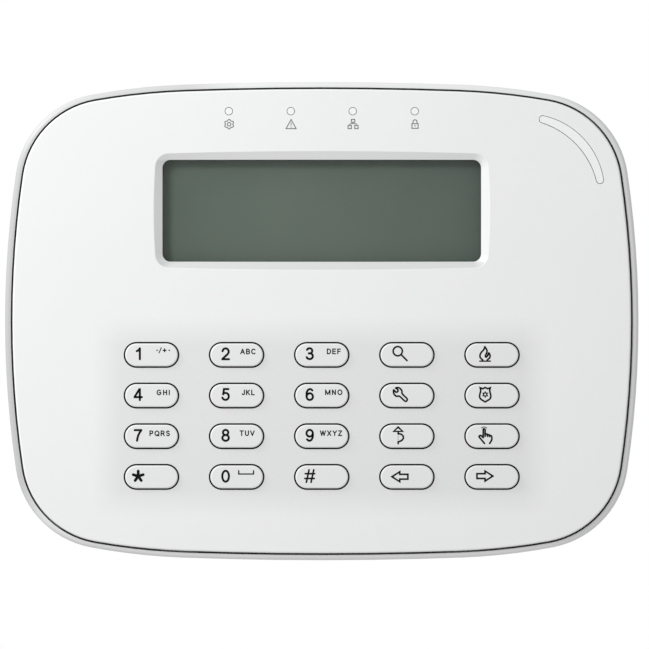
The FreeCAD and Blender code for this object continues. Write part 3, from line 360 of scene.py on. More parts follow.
# ------------------------------------------------------------------ printed legends: thin ink laid on the faces
class Ink:
    """Flat strokes with round ends, raised a few microns, drawn in x and z on a plane that looks along -Y, or +Y when back is set."""

    def __init__(self, name, plane_y, material, thick=0.012 * MM, back=False):
        self.name, self.y, self.material, self.thick = name, plane_y, material, thick
        self.s = -1 if back else 1
        self.bm = bmesh.new()
        self.layer = 0

    def prism(self, loop):
        """A convex outline (list of (x, z) in metres), extruded towards the viewer."""
        self.layer += 1
        lift = self.thick + (self.layer % 5) * 0.0008 * MM
        n = len(loop)
        back = [self.bm.verts.new((p[0], self.y + self.s * 0.004 * MM, p[1])) for p in loop]
        front = [self.bm.verts.new((p[0], self.y - self.s * lift, p[1])) for p in loop]
        self.bm.faces.new(front)
        self.bm.faces.new(back[::-1])
        for i in range(n):
            j = (i + 1) % n
            self.bm.faces.new((front[i], back[i], back[j], front[j]))

    def strip(self, left, right, first, last):
        """A ribbon between two open lines, with rounded ends given as outlines of their own."""
        self.layer += 1
        lift = self.thick + (self.layer % 5) * 0.0008 * MM
        new = lambda p, y: self.bm.verts.new((p[0], y, p[1]))
        lf, rf = [new(p, self.y - self.s * lift) for p in left], [new(p, self.y - self.s * lift) for p in right]
        lb, rb = [new(p, self.y + self.s * 0.004 * MM) for p in left], [new(p, self.y + self.s * 0.004 * MM) for p in right]
        for i in range(len(left) - 1):
            self.bm.faces.new((lf[i], lf[i + 1], rf[i + 1], rf[i]))
            self.bm.faces.new((lb[i], rb[i], rb[i + 1], lb[i + 1]))
            self.bm.faces.new((lf[i], lb[i], lb[i + 1], lf[i + 1]))
            self.bm.faces.new((rf[i], rf[i + 1], rb[i + 1], rb[i]))
        for f0, b0, f1, b1, cap in ((lf[-1], lb[-1], rf[-1], rb[-1], last), (rf[0], rb[0], lf[0], lb[0], first)):
            cf, cb = [f0] + [new(p, self.y - self.s * lift) for p in cap] + [f1], [b0] + [new(p, self.y + self.s * 0.004 * MM) for p in cap] + [b1]
            self.bm.faces.new(cf)
            self.bm.faces.new(cb[::-1])
            for i in range(len(cf) - 1):
                self.bm.faces.new((cf[i], cb[i], cb[i + 1], cf[i + 1]))

    def stroke(self, pts, w, closed=False):
        """A ribbon of width w along the points; joints are rounded by short steps."""
        pts = [Vector(p) for p in pts]
        clean = [pts[0]]
        for p in pts[1:]:
            if (p - clean[-1]).length > 1e-7:
                clean.append(p)
        pts = clean
        if closed and (pts[0] - pts[-1]).length < 1e-7:
            pts.pop()
        n, r = len(pts), w / 2
        if not closed:
            for i in range(1, n - 1):  # a sharp corner is two ribbons whose round ends meet
                if (pts[i] - pts[i - 1]).normalized().dot((pts[i + 1] - pts[i]).normalized()) < -0.2:
                    self.stroke(pts[:i + 1], w)
                    self.stroke(pts[i:], w)
                    return
        left, right = [], []
        for i in range(n):
            a = (pts[i] - pts[i - 1]).normalized() if (closed or i) else None
            b = (pts[(i + 1) % n] - pts[i]).normalized() if (closed or i < n - 1) else None
            a, b = a or b, b or a
            na, nb = Vector((-a.y, a.x)), Vector((-b.y, b.x))
            mid = na + nb
            mid = na if mid.length < 1e-4 else mid.normalized()
            reach = r / max(mid.dot(na), 0.5)
            left.append(tuple(pts[i] + mid * reach))
            right.append(tuple(pts[i] - mid * reach))
        if closed:
            self.ring(left, right)
            return
        cap = lambda c, d: [(c.x + r * math.cos(t), c.y + r * math.sin(t)) for t in
                            [math.atan2(d.y, d.x) + math.pi / 2 - math.pi * k / 6 for k in range(1, 6)]]
        self.strip(left, right, cap(pts[0], (pts[0] - pts[1]).normalized()), cap(pts[-1], (pts[-1] - pts[-2]).normalized()))

    def ring(self, a, b):
        """The band between two closed outlines with the same number of points."""
        self.layer += 1
        lift = self.thick + (self.layer % 5) * 0.0008 * MM
        n = len(a)
        new = lambda p, y: self.bm.verts.new((p[0], y, p[1]))
        af, bf = [new(p, self.y - self.s * lift) for p in a], [new(p, self.y - self.s * lift) for p in b]
        ab, bb = [new(p, self.y + self.s * 0.004 * MM) for p in a], [new(p, self.y + self.s * 0.004 * MM) for p in b]
        for i in range(n):
            j = (i + 1) % n
            for q4 in ((af[i], af[j], bf[j], bf[i]), (ab[i], bb[i], bb[j], ab[j]), (af[i], ab[i], ab[j], af[j]), (bf[i], bf[j], bb[j], bb[i])):
                self.bm.faces.new(q4)

    def circle(self, cx, cz, r, w, n=28):
        c = [(math.cos(2 * math.pi * k / n), math.sin(2 * math.pi * k / n)) for k in range(n)]
        self.ring([(cx + u * (r + w / 2), cz + v * (r + w / 2)) for u, v in c], [(cx + u * (r - w / 2), cz + v * (r - w / 2)) for u, v in c])

    def dot(self, cx, cz, r, n=14):
        self.prism([(cx + r * math.cos(2 * math.pi * k / n), cz + r * math.sin(2 * math.pi * k / n)) for k in range(n)])

    def done(self, body):
        bmesh.ops.recalc_face_normals(self.bm, faces=self.bm.faces)
        me = bpy.data.meshes.new(self.name)
        self.bm.to_mesh(me)
        self.bm.free()
        o = bpy.data.objects.new(self.name, me)
        scene.collection.objects.link(o)
        me.materials.append(self.material)
        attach(o, body)
        return o


def arcs(cx, cy, rx, ry, a0, a1, n=14):
    return [(cx + rx * math.cos(math.radians(a0 + (a1 - a0) * k / n)), cy + ry * math.sin(math.radians(a0 + (a1 - a0) * k / n))) for k in range(n + 1)]


# strokes of plain sans-serif characters: (width, [strokes]) in a box 0.88 high between stroke centres
G = {
    "0": (0.54, [("o", arcs(0.27, 0.44, 0.27, 0.44, 0, 360, 30))]),
    "1": (0.34, [[(0.34, 0.0), (0.34, 0.88), (0.28, 0.79), (0.19, 0.70), (0.09, 0.65)]]),
    "2": (0.54, [arcs(0.27, 0.61, 0.25, 0.27, 172, -18, 16) + [(0.42, 0.40), (0.2, 0.2), (0.02, 0.03), (0.02, 0.0), (0.54, 0.0)]]),
    "3": (0.54, [arcs(0.26, 0.665, 0.22, 0.215, 158, -82, 14) + [(0.2, 0.46)], [(0.2, 0.46), (0.29, 0.46)] + arcs(0.27, 0.235, 0.26, 0.235, 80, -160, 16)]),
    "4": (0.58, [[(0.42, 0.0), (0.42, 0.88), (0.38, 0.88), (0.0, 0.27), (0.0, 0.24), (0.58, 0.24)]]),
    "5": (0.54, [[(0.50, 0.88), (0.14, 0.88), (0.07, 0.45)] + arcs(0.26, 0.285, 0.27, 0.285, 128, -158, 18)]),
    "6": (0.54, [arcs(0.29, 0.46, 0.28, 0.42, 48, 180, 12) + [(0.01, 0.36)] + arcs(0.27, 0.27, 0.255, 0.27, 168, 360 + 160, 26)]),
    "7": (0.54, [[(0.0, 0.86), (0.54, 0.86), (0.40, 0.66), (0.28, 0.42), (0.22, 0.2), (0.19, 0.0)]]),
    "8": (0.54, [("o", arcs(0.27, 0.67, 0.215, 0.21, 0, 360, 26)), ("o", arcs(0.27, 0.23, 0.26, 0.235, 0, 360, 28))]),
    "9": (0.54, [arcs(0.25, 0.42, 0.28, 0.42, 228, 360, 12) + [(0.53, 0.52)] + arcs(0.27, 0.61, 0.255, 0.27, -12, 340, 26)]),
    "A": (0.70, [[(0.0, 0.0), (0.35, 0.88), (0.70, 0.0)], [(0.12, 0.30), (0.58, 0.30)]]),
    "B": (0.56, [[(0.0, 0.0), (0.0, 0.88), (0.32, 0.88)] + arcs(0.32, 0.67, 0.19, 0.21, 90, -90, 8) + [(0.0, 0.46)],
                 [(0.0, 0.46), (0.34, 0.46)] + arcs(0.34, 0.23, 0.22, 0.23, 90, -90, 8) + [(0.0, 0.0)]]),
    "C": (0.70, [arcs(0.37, 0.44, 0.37, 0.44, 44, 316, 20)]),
    "D": (0.62, [("o", [(0.0, 0.0), (0.0, 0.88), (0.26, 0.88)] + arcs(0.26, 0.44, 0.36, 0.44, 90, -90, 14) + [(0.26, 0.0)])]),
    "E": (0.54, [[(0.54, 0.88), (0.0, 0.88), (0.0, 0.0), (0.55, 0.0)], [(0.0, 0.46), (0.50, 0.46)]]),
    "F": (0.50, [[(0.50, 0.88), (0.0, 0.88), (0.0, 0.0)], [(0.0, 0.45), (0.43, 0.45)]]),
    "G": (0.72, [arcs(0.37, 0.44, 0.37, 0.44, 46, 318, 20) + [(0.70, 0.2), (0.70, 0.42), (0.40, 0.42)]]),
    "H": (0.58, [[(0.0, 0.0), (0.0, 0.88)], [(0.58, 0.0), (0.58, 0.88)], [(0.0, 0.47), (0.58, 0.47)]]),
    "I": (0.0, [[(0.0, 0.0), (0.0, 0.88)]]),
    "J": (0.38, [[(0.38, 0.88), (0.38, 0.22)] + arcs(0.19, 0.21, 0.19, 0.21, 0, -175, 10)]),
    "K": (0.58, [[(0.0, 0.0), (0.0, 0.88)], [(0.56, 0.88), (0.0, 0.31)], [(0.2, 0.50), (0.58, 0.0)]]),
    "L": (0.48, [[(0.0, 0.88), (0.0, 0.0), (0.48, 0.0)]]),
    "M": (0.82, [[(0.0, 0.0), (0.0, 0.88), (0.41, 0.02), (0.82, 0.88), (0.82, 0.0)]]),
    "N": (0.56, [[(0.0, 0.0), (0.0, 0.88), (0.56, 0.0), (0.56, 0.88)]]),
    "O": (0.76, [("o", arcs(0.38, 0.44, 0.38, 0.44, 0, 360, 28))]),
    "P": (0.54, [[(0.0, 0.0), (0.0, 0.88), (0.32, 0.88)] + arcs(0.32, 0.645, 0.22, 0.235, 90, -90, 8) + [(0.0, 0.41)]]),
    "Q": (0.76, [("o", arcs(0.38, 0.44, 0.38, 0.44, 0, 360, 28)), [(0.46, 0.2), (0.76, -0.05)]]),
    "R": (0.60, [[(0.0, 0.0), (0.0, 0.88), (0.34, 0.88)] + arcs(0.34, 0.65, 0.22, 0.23, 90, -90, 8) + [(0.0, 0.42)], [(0.30, 0.42), (0.60, 0.0)]]),
    "S": (0.56, [arcs(0.28, 0.665, 0.24, 0.215, 28, 262, 14) + arcs(0.29, 0.225, 0.26, 0.225, 84, -155, 14)]),
    "T": (0.62, [[(0.0, 0.88), (0.62, 0.88)], [(0.31, 0.88), (0.31, 0.0)]]),
    "U": (0.56, [[(0.0, 0.88), (0.0, 0.28)] + arcs(0.28, 0.28, 0.28, 0.28, 180, 360, 12) + [(0.56, 0.88)]]),
    "V": (0.68, [[(0.0, 0.88), (0.34, 0.0), (0.68, 0.88)]]),
    "W": (0.96, [[(0.0, 0.88), (0.25, 0.0), (0.48, 0.86), (0.71, 0.0), (0.96, 0.88)]]),
    "X": (0.62, [[(0.0, 0.0), (0.62, 0.88)], [(0.0, 0.88), (0.62, 0.0)]]),
    "Y": (0.64, [[(0.0, 0.88), (0.32, 0.42), (0.64, 0.88)], [(0.32, 0.42), (0.32, 0.0)]]),
    "Z": (0.60, [[(0.02, 0.88), (0.58, 0.88), (0.0, 0.0), (0.60, 0.0)]]),
}


def write(ink, text, cx, cz, cap, weight, gap=0.43, right=None):
    """Characters of cap height cap, centred on cx, cz, or ending at right. All in metres; weight and gap are shares of cap."""
    total = sum(G[c][0] + 0.12 for c in text) + gap * (len(text) - 1)
    x = (right - total * cap if right is not None else cx - total * cap / 2) + 0.06 * cap
    z0 = cz - 0.44 * cap
    for c in text:
        for s in G[c][1]:
            closed = s[0] == "o"
            pts = s[1][:-1] if closed and (Vector(s[1][0]) - Vector(s[1][-1])).length < 1e-6 else (s[1] if closed else s)
            ink.stroke([(x + p[0] * cap, z0 + p[1] * cap) for p in pts], weight * cap, closed)
        x += (G[c][0] + 0.12 + gap) * cap


U = 0.24475 * MM  # the icons' drawing unit
DIGIT, SMALL = 12.3 * U, 5.2 * U


def smooth(pts, closed=False, steps=5):
    """A rounded line through the points."""
    n = len(pts)
    out = []
    rng = range(n) if closed else range(n - 1)
    for i in rng:
        p = [Vector(pts[(i + k) % n] if closed else pts[min(max(i + k, 0), n - 1)]) for k in (-1, 0, 1, 2)]
        for s in range(steps):
            t = s / steps
            out.append(tuple(0.5 * ((2 * p[1]) + (p[2] - p[0]) * t + (2 * p[0] - 5 * p[1] + 4 * p[2] - p[3]) * t * t + (3 * p[1] - p[0] - 3 * p[2] + p[3]) * t ** 3)))
    if not closed:
        out.append(tuple(pts[-1]))
    return out


def legends():
    sets = {"key_1": ("1", None), "key_2": ("2", "ABC"), "key_3": ("3", "DEF"), "key_4": ("4", "GHI"), "key_5": ("5", "JKL"), "key_6": ("6", "MNO"),
            "key_7": ("7", "PQRS"), "key_8": ("8", "TUV"), "key_9": ("9", "WXYZ"), "key_0": ("0", None)}
    places = {"key_1": -13.7, "key_2": -11.0, "key_3": -12.1, "key_4": -13.2, "key_5": -11.0, "key_6": -12.0, "key_7": -13.4, "key_8": -11.0, "key_9": -12.1, "key_0": -11.0}
    ends = {"key_2": 19.0, "key_3": 18.9, "key_4": 18.1, "key_5": 17.9, "key_6": 20.4, "key_7": 18.2, "key_8": 17.8, "key_9": 20.2}
    # how far each legend sits above the key's middle, in drawing units: the large mark, then the small letters
    rise = {"key_1": (1.25, 0.5), "key_2": (1.2, 0.8), "key_3": (1.35, 0.9), "key_search": (0.5, 0), "key_fire": (0.5, 0),
            "key_4": (1.0, 0.5), "key_5": (1.2, 0.55), "key_6": (1.15, 0.7), "key_tools": (0.35, 0), "key_shield": (0.7, 0),
            "key_7": (1.05, 0.3), "key_8": (1.05, 0.45), "key_9": (1.05, 0.45), "key_bypass": (0.85, 0), "key_touch": (0.9, 0),
            "key_star": (0.65, 0), "key_0": (0.8, 1.0), "key_hash": (0.65, 0), "key_left": (0.7, 0), "key_right": (0.85, 0)}
    aside = {"key_search": -0.4, "key_fire": -0.5, "key_shield": -0.15, "key_tools": -0.2, "key_bypass": -0.4, "key_touch": -0.3, "key_star": 0.35,
             "key_hash": -0.3, "key_left": -0.35, "key_right": -0.4}
    spread = {"key_4": 0.40, "key_6": 0.37}
    for key in [n for n in nodes if n.startswith("key_") and n != "key_backlight_leds"]:
        lo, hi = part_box(key)
        cx, cz, face = (lo.x + hi.x) / 2, (lo.z + hi.z) / 2, lo.y
        ink = Ink(key + "_legend", face, materials["ink"])
        cx += (aside.get(key, 0.0) - 0.6) * U
        large, small_rise = rise[key]
        if key not in ("key_1", "key_0"):
            cz += large * U
        P = lambda pts: [(cx + a * U, cz + b * U) for a, b in pts]
        w = 1.75 * U
        line = lambda pts, closed=False, weight=w: ink.stroke(P(pts), weight, closed)
        if key in sets:
            big, small = sets[key]
            lift = large if key in ("key_1", "key_0") else 0.0
            write(ink, big, cx + (places[key] + 0.6) * U, cz + (lift - 0.1) * U, DIGIT, 0.175)
            if small:
                write(ink, small, 0, cz + (2.6 + small_rise - large) * U, SMALL, 0.215, spread.get(key, 0.30), right=cx + (ends[key] + 0.6) * U)
            if key in ("key_1", "key_0"):
                cz += small_rise * U
        if key == "key_1":
            ink.dot(cx + 6.2 * U, cz + 4.05 * U, 0.75 * U)
            ink.dot(cx + 18.4 * U, cz + 4.05 * U, 0.75 * U)
            line([(8.2, 1.5), (10.4, 6.6)], False, 1.0 * U)
            line([(12.2, 4.05), (15.2, 4.05)], False, 1.15 * U)
            line([(13.7, 2.55), (13.7, 5.55)], False, 1.15 * U)
        elif key == "key_0":
            line([(2.7, 5.2), (2.7, 1.9), (17.5, 1.9), (17.5, 5.2)], False, 1.3 * U)
        elif key == "key_star":
            for k in range(5):
                a = math.radians(90 + 72 * k)
                ink.stroke([(cx - 13.0 * U, cz + 0.0 * U), (cx - 13.0 * U + 5.2 * U * math.cos(a), cz + 0.0 * U + 5.2 * U * math.sin(a))], 2.9 * U)
        elif key == "key_hash":
            line([(-14.5, -6.0), (-11.8, 6.4)], False, 1.75 * U)
            line([(-9.8, -6.0), (-7.1, 6.4)], False, 1.75 * U)
            line([(-15.6, 2.6), (-6.2, 2.6)], False, 1.75 * U)
            line([(-16.0, -2.2), (-6.6, -2.2)], False, 1.75 * U)
        elif key == "key_search":
            ink.circle(cx - 8.15 * U, cz + 3.2 * U, 4.6 * U, w)
            line([(-4.85, -0.15), (1.1, -6.2)])
        elif key == "key_fire":
            line(smooth([(-6.1, 7.7), (-7.2, 4.8), (-9.9, 1.7), (-11.0, -1.2), (-10.4, -3.6), (-8.2, -5.6)]))
            line(smooth([(-6.1, 7.7), (-4.0, 4.0), (-4.4, 1.2), (-5.6, -1.4), (-4.9, -2.7), (-3.3, -1.2), (-2.1, 1.4), (-0.9, -1.1), (-1.4, -3.5), (-3.8, -5.6)]))
            line([(-11.2, -6.75), (-0.6, -6.75)], False, 1.4 * U)
        elif key == "key_tools":
            line(smooth([(-10.3, 7.2), (-7.1, 7.4), (-4.3, 4.7), (-3.9, 1.5), (0.8, -3.3), (0.8, -5.3), (-1.2, -5.9), (-6.5, -1.1), (-9.8, -1.0), (-12.3, 1.6),
                         (-12.4, 5.2), (-10.1, 3.0), (-8.2, 4.0), (-8.4, 5.6)], True, 4), True)
        elif key == "key_shield":
            half = [(0.0, 7.4), (2.4, 6.1), (5.1, 7.2)] + smooth([(5.1, 7.2), (4.5, 4.2), (5.6, -0.8), (4.9, -3.7), (2.7, -5.4), (0.0, -7.0)], False, 4)[1:]
            line([(-6.1 + a, b) for a, b in half] + [(-6.1 - a, b) for a, b in half[-2:0:-1]], True)
            star = lambda r, s, n=12: [(cx + (-6.1 + (r if k % 2 == 0 else s) * math.sin(2 * math.pi * k / n)) * U, cz + (0.4 + (r if k % 2 == 0 else s) * math.cos(2 * math.pi * k / n)) * U) for k in range(n)]
            ink.ring(star(3.7, 2.15), star(1.35, 0.8))
        elif key == "key_bypass":
            line([(-7.75, 8.3), (-12.2, 4.0), (-3.3, 4.0)], True)
            line([(-7.75, 3.6), (-7.75, 1.9), (-4.4, 1.0), (-2.6, -0.8), (-2.6, -3.2), (-4.2, -5.1), (-7.75, -6.6), (-7.75, -8.2)])
            for k in range(5):
                ink.dot(cx - 7.75 * U, cz + (0.6 - 1.55 * k) * U, 0.42 * U, 8)
        elif key == "key_touch":
            line(smooth([(-7.9, -2.3), (-10.3, -0.2), (-11.6, -0.5), (-12.0, -1.6), (-9.8, -4.3), (-6.7, -8.1)]))
            line([(-7.95, -2.3), (-7.95, 5.4), (-7.6, 6.4), (-6.4, 6.4), (-6.0, 5.4), (-6.0, -0.9)])
            line([(-6.0, 1.2), (-4.0, 1.3), (-3.6, 0.9), (-3.6, -1.0)])
            line([(-3.6, 0.8), (-1.9, 0.5), (-1.5, 0.0), (-1.5, -1.3)])
            line(smooth([(-1.5, 0.0), (0.0, -0.4), (0.7, -2.0), (0.4, -4.8), (-1.5, -8.1)]))
            ink.stroke(P(arcs(-7.0, 6.2, 3.0, 2.2, 150, 30, 8)), 0.8 * U)
        elif key == "key_left":
            line([(-14.0, -0.5), (-6.2, 4.5), (-6.2, 1.9), (1.9, 1.9), (1.9, -2.9), (-6.2, -2.9), (-6.2, -5.5)], True)
        elif key == "key_right":
            line([(1.8, 0.0), (-6.0, 5.0), (-6.0, 2.4), (-14.1, 2.4), (-14.1, -2.4), (-6.0, -2.4), (-6.0, -5.0)], True)
        ink.done(key)


legends()

# the four small icons under the indicator lamps
face_y = -22.0 * MM
ink = Ink("indicator_icons", face_y, materials["grey_ink"])
zi = 48.15 * MM
xs = [-22.65 * MM, -7.5 * MM, 7.65 * MM, 22.8 * MM]
w = 0.95 * U
gear = []
for k in range(36):
    a = 2 * math.pi * k / 36
    gear.append((xs[0] + (4.25 + 0.62 * math.cos(6 * a)) * U * math.sin(a), zi + (4.25 + 0.62 * math.cos(6 * a)) * U * math.cos(a)))
ink.stroke(gear, w, True)
ink.circle(xs[0], zi, 1.75 * U, w)
at = lambda k, pts: [(xs[k] + a * U, zi + b * U) for a, b in pts]
ink.stroke(at(1, [(0.0, 4.7), (-5.0, -4.4), (5.0, -4.4)]), w, True)
ink.stroke(at(1, [(0.0, 1.8), (0.0, -1.2)]), w * 0.8)
ink.dot(xs[1], zi - 2.8 * U, 0.55 * U)
ink.stroke(at(2, [(-1.7, 4.8), (1.7, 4.8), (1.7, 2.0), (-1.7, 2.0)]), w, True)
ink.stroke(at(2, [(-5.0, -1.2), (-1.7, -1.2), (-1.7, -4.4), (-5.0, -4.4)]), w, True)
ink.stroke(at(2, [(1.7, -1.2), (5.0, -1.2), (5.0, -4.4), (1.7, -4.4)]), w, True)
ink.stroke(at(2, [(-3.4, -0.8), (-3.0, 0.5), (0.0, 0.6), (3.0, 0.5), (3.4, -0.8)]), w * 0.9)
ink.stroke(at(2, [(0.0, 1.6), (0.0, 0.7)]), w * 0.9)
ink.stroke(at(3, [(-3.1, 0.5), (3.1, 0.5), (3.1, -4.1), (-3.1, -4.1)]), w, True)
ink.stroke(at(3, [(-2.0, 0.7), (-2.0, 2.5)] + arcs(0.0, 2.5, 2.0, 1.9, 180, 0, 8)[1:] + [(2.0, 0.7)]), w)
ink.dot(xs[3], zi - 1.6 * U, 0.7 * U)
ink.done("front_unit")

# ------------------------------------------------------------------ the board's wall side: printed outlines, pads and solder
BACK = -11.0 * MM
silk = Ink("board_outlines", BACK, materials["silk"], 0.02 * MM, back=True)
rect = lambda ink, cx, cz, hx, hz, w=0.2: ink.stroke([((cx - hx) * MM, (cz - hz) * MM), ((cx + hx) * MM, (cz - hz) * MM), ((cx + hx) * MM, (cz + hz) * MM),
                                                      ((cx - hx) * MM, (cz + hz) * MM)], w * MM, True)
rect(silk, 8.0, 24.0, 7.1, 7.1)
silk.stroke([(0.9 * MM, 29.6 * MM), (2.4 * MM, 31.1 * MM)], 0.2 * MM)
rect(silk, -18.0, 8.0, 3.4, 3.9)
rect(silk, -24.0, -22.0, 4.4, 5.0)
rect(silk, 0.0, 39.0, 2.7, 5.7)
for cx in (-36.0, -45.0):
    silk.circle(cx * MM, -22.0 * MM, 3.7 * MM, 0.2 * MM, 40)
    silk.stroke([((cx + 2.6) * MM, -18.6 * MM), ((cx + 3.6) * MM, -18.6 * MM)], 0.2 * MM)
    silk.stroke([((cx + 3.1) * MM, -19.1 * MM), ((cx + 3.1) * MM, -18.1 * MM)], 0.2 * MM)
silk.circle(-47.0 * MM, 18.0 * MM, 11.9 * MM, 0.22 * MM, 64)
rect(silk, -46.0, -39.9, 10.9, 4.9)
rect(silk, 47.0, -22.0, 3.7, 3.7)
CHIPS = [(-12.0, 22.0), (-12.0, 25.0), (-12.0, 28.0), (20.0, 14.0), (23.0, 14.0), (26.0, 14.0), (24.0, 32.0), (27.0, 32.0), (30.0, 32.0),
         (-26.0, 2.0), (-26.0, -1.0), (-26.0, -4.0), (30.0, -30.0), (33.0, -30.0), (36.0, -30.0), (-8.0, 12.0), (-5.0, 12.0), (40.0, 8.0), (40.0, 5.0)]
for cx, cz in CHIPS:
    rect(silk, cx, cz, 1.05, 1.42, 0.14)
silk.done("front_unit")

pads = Ink("board_pads", BACK, materials["tin"], 0.03 * MM, back=True)


def pad(cx, cz, hx, hz):
    pads.prism([((cx - hx) * MM, (cz - hz) * MM), ((cx + hx) * MM, (cz - hz) * MM), ((cx + hx) * MM, (cz + hz) * MM), ((cx - hx) * MM, (cz + hz) * MM)])


for k in range(11):
    o = (k - 5) * 0.8
    for sgn in (1, -1):
        pad(8.0 + o, 24.0 + sgn * 5.95, 0.25, 0.6)
        pad(8.0 + sgn * 5.95, 24.0 + o, 0.6, 0.25)
for k in range(4):
    for sgn in (1, -1):
        pad(-18.0 + (k - 1.5) * 1.27, 8.0 + sgn * 2.95, 0.38, 0.6)
for k in range(3):
    for sgn in (1, -1):
        pad(-24.0 + (k - 1) * 2.3, -22.0 + sgn * 4.0, 0.7, 0.6)
for k in range(7):
    pads.dot((14.0 + 3.2 * k) * MM, -12.0 * MM, 0.75 * MM, 20)
for k in range(5):
    pads.dot(58.0 * MM, (12.0 + 3.2 * k) * MM, 0.75 * MM, 20)
for cx, cz in ((-60, -20), (-30, 40), (34, 44), (14, -44), (-14, -30), (2, -4), (52, -40), (-64, 6), (22, 2), (44, 30), (-30, 28), (6, 8)):
    pads.dot(cx * MM, cz * MM, 0.5 * MM, 16)
pads.done("front_unit")

ends = bmesh.new()
for cx, cz in CHIPS:
    for sgn in (1, -1):
        box = bmesh.ops.create_cube(ends, size=1.0)["verts"]
        for v in box:
            v.co = Vector(((cx + v.co.x * 1.28) * MM, (-10.71 + v.co.y * 0.56) * MM, (cz + sgn * 0.82 + v.co.z * 0.44) * MM))
        bmesh.ops.bevel(ends, geom=list({e for v in box for e in v.link_edges}), offset=0.05 * MM, segments=2, affect="EDGES")
me = bpy.data.meshes.new("resistor_ends")
ends.to_mesh(me)
ends.free()
o = bpy.data.objects.new("resistor_ends", me)
scene.collection.objects.link(o)
me.materials.append(materials["tin"])
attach(o, "front_unit")

# each capacitor: a dark rubber base ring and a printed polarity stripe over its can
caps, stripes = bmesh.new(), bmesh.new()


def lathe(bm, cx, cz, profile, n=48, a0=0.0, a1=360.0):
    """A surface of revolution about a line along Y: profile is (radius, y) in millimetres."""
    full = a1 - a0 >= 360
    cols = [[bm.verts.new(((cx + r * math.cos(math.radians(a0 + (a1 - a0) * k / n))) * MM, y * MM, (cz + r * math.sin(math.radians(a0 + (a1 - a0) * k / n))) * MM))
             for r, y in profile] for k in range(n if full else n + 1)]
    for k in range(len(cols) if full else len(cols) - 1):
        a, b = cols[k], cols[(k + 1) % len(cols)]
        for i in range(len(profile) - 1):
            bm.faces.new((a[i], a[i + 1], b[i + 1], b[i]))


def finish(bm, name, material, body, smooth=True):
    bmesh.ops.recalc_face_normals(bm, faces=bm.faces)
    for f in bm.faces:
        f.smooth = smooth
    me = bpy.data.meshes.new(name)
    bm.to_mesh(me)
    bm.free()
    o = bpy.data.objects.new(name, me)
    scene.collection.objects.link(o)
    me.materials.append(material)
    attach(o, body)
    return o


for cx in (-36.0, -45.0):
    lathe(caps, cx, -22.0, [(3.16, -10.98), (3.34, -10.98), (3.36, -10.9), (3.36, -9.9), (3.32, -9.82), (3.16, -9.8)])
    lathe(stripes, cx, -22.0, [(3.16, -9.6), (3.17, -5.2), (3.05, -4.72), (2.9, -4.585)], 12, 20.0, 70.0)
finish(caps, "capacitor_bases", materials["black_plastic"], "front_unit")
finish(stripes, "capacitor_stripes", materials["black_plastic"], "front_unit")

# ------------------------------------------------------------------ tamper spring: a smooth coil in place of the faceted one
def coil():
    lo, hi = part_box("tamper_spring")
    cx, cz = (lo.x + hi.x) / 2, (lo.z + hi.z) / 2
    r, wire = 4.95 * MM, 0.3 * MM
    y0, y1 = hi.y - wire, lo.y + wire
    y0, y1 = -5.5 * MM, -10.6 * MM
    turns, per, sides = 4.0, 40, 10
    bm = bmesh.new()
    rings = []
    for k in range(int(turns * per) + 1):
        a = 2 * math.pi * k / per
        y = y0 + (y1 - y0) * k / (turns * per)
        out = Vector((math.cos(a), 0, math.sin(a)))
        rings.append([bm.verts.new(Vector((cx, y, cz)) + out * (r + wire * math.cos(t)) + Vector((0, 1, 0)) * wire * math.sin(t)) for t in
                      [2 * math.pi * i / sides for i in range(sides)]])
    for a, b in zip(rings, rings[1:]):
        for i in range(sides):
            bm.faces.new((a[i], a[(i + 1) % sides], b[(i + 1) % sides], b[i]))
    bm.faces.new(rings[0])
    bm.faces.new(rings[-1])
    bmesh.ops.recalc_face_normals(bm, faces=bm.faces)
    for f in bm.faces:
        f.smooth = len(f.verts) == 4
    me = bpy.data.meshes.new("tamper_coil")
    bm.to_mesh(me)
    bm.free()
    o = bpy.data.objects.new("tamper_coil", me)
    scene.collection.objects.link(o)
    me.materials.append(materials["spring_steel"])
    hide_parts("tamper_spring")
    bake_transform(o)


coil()
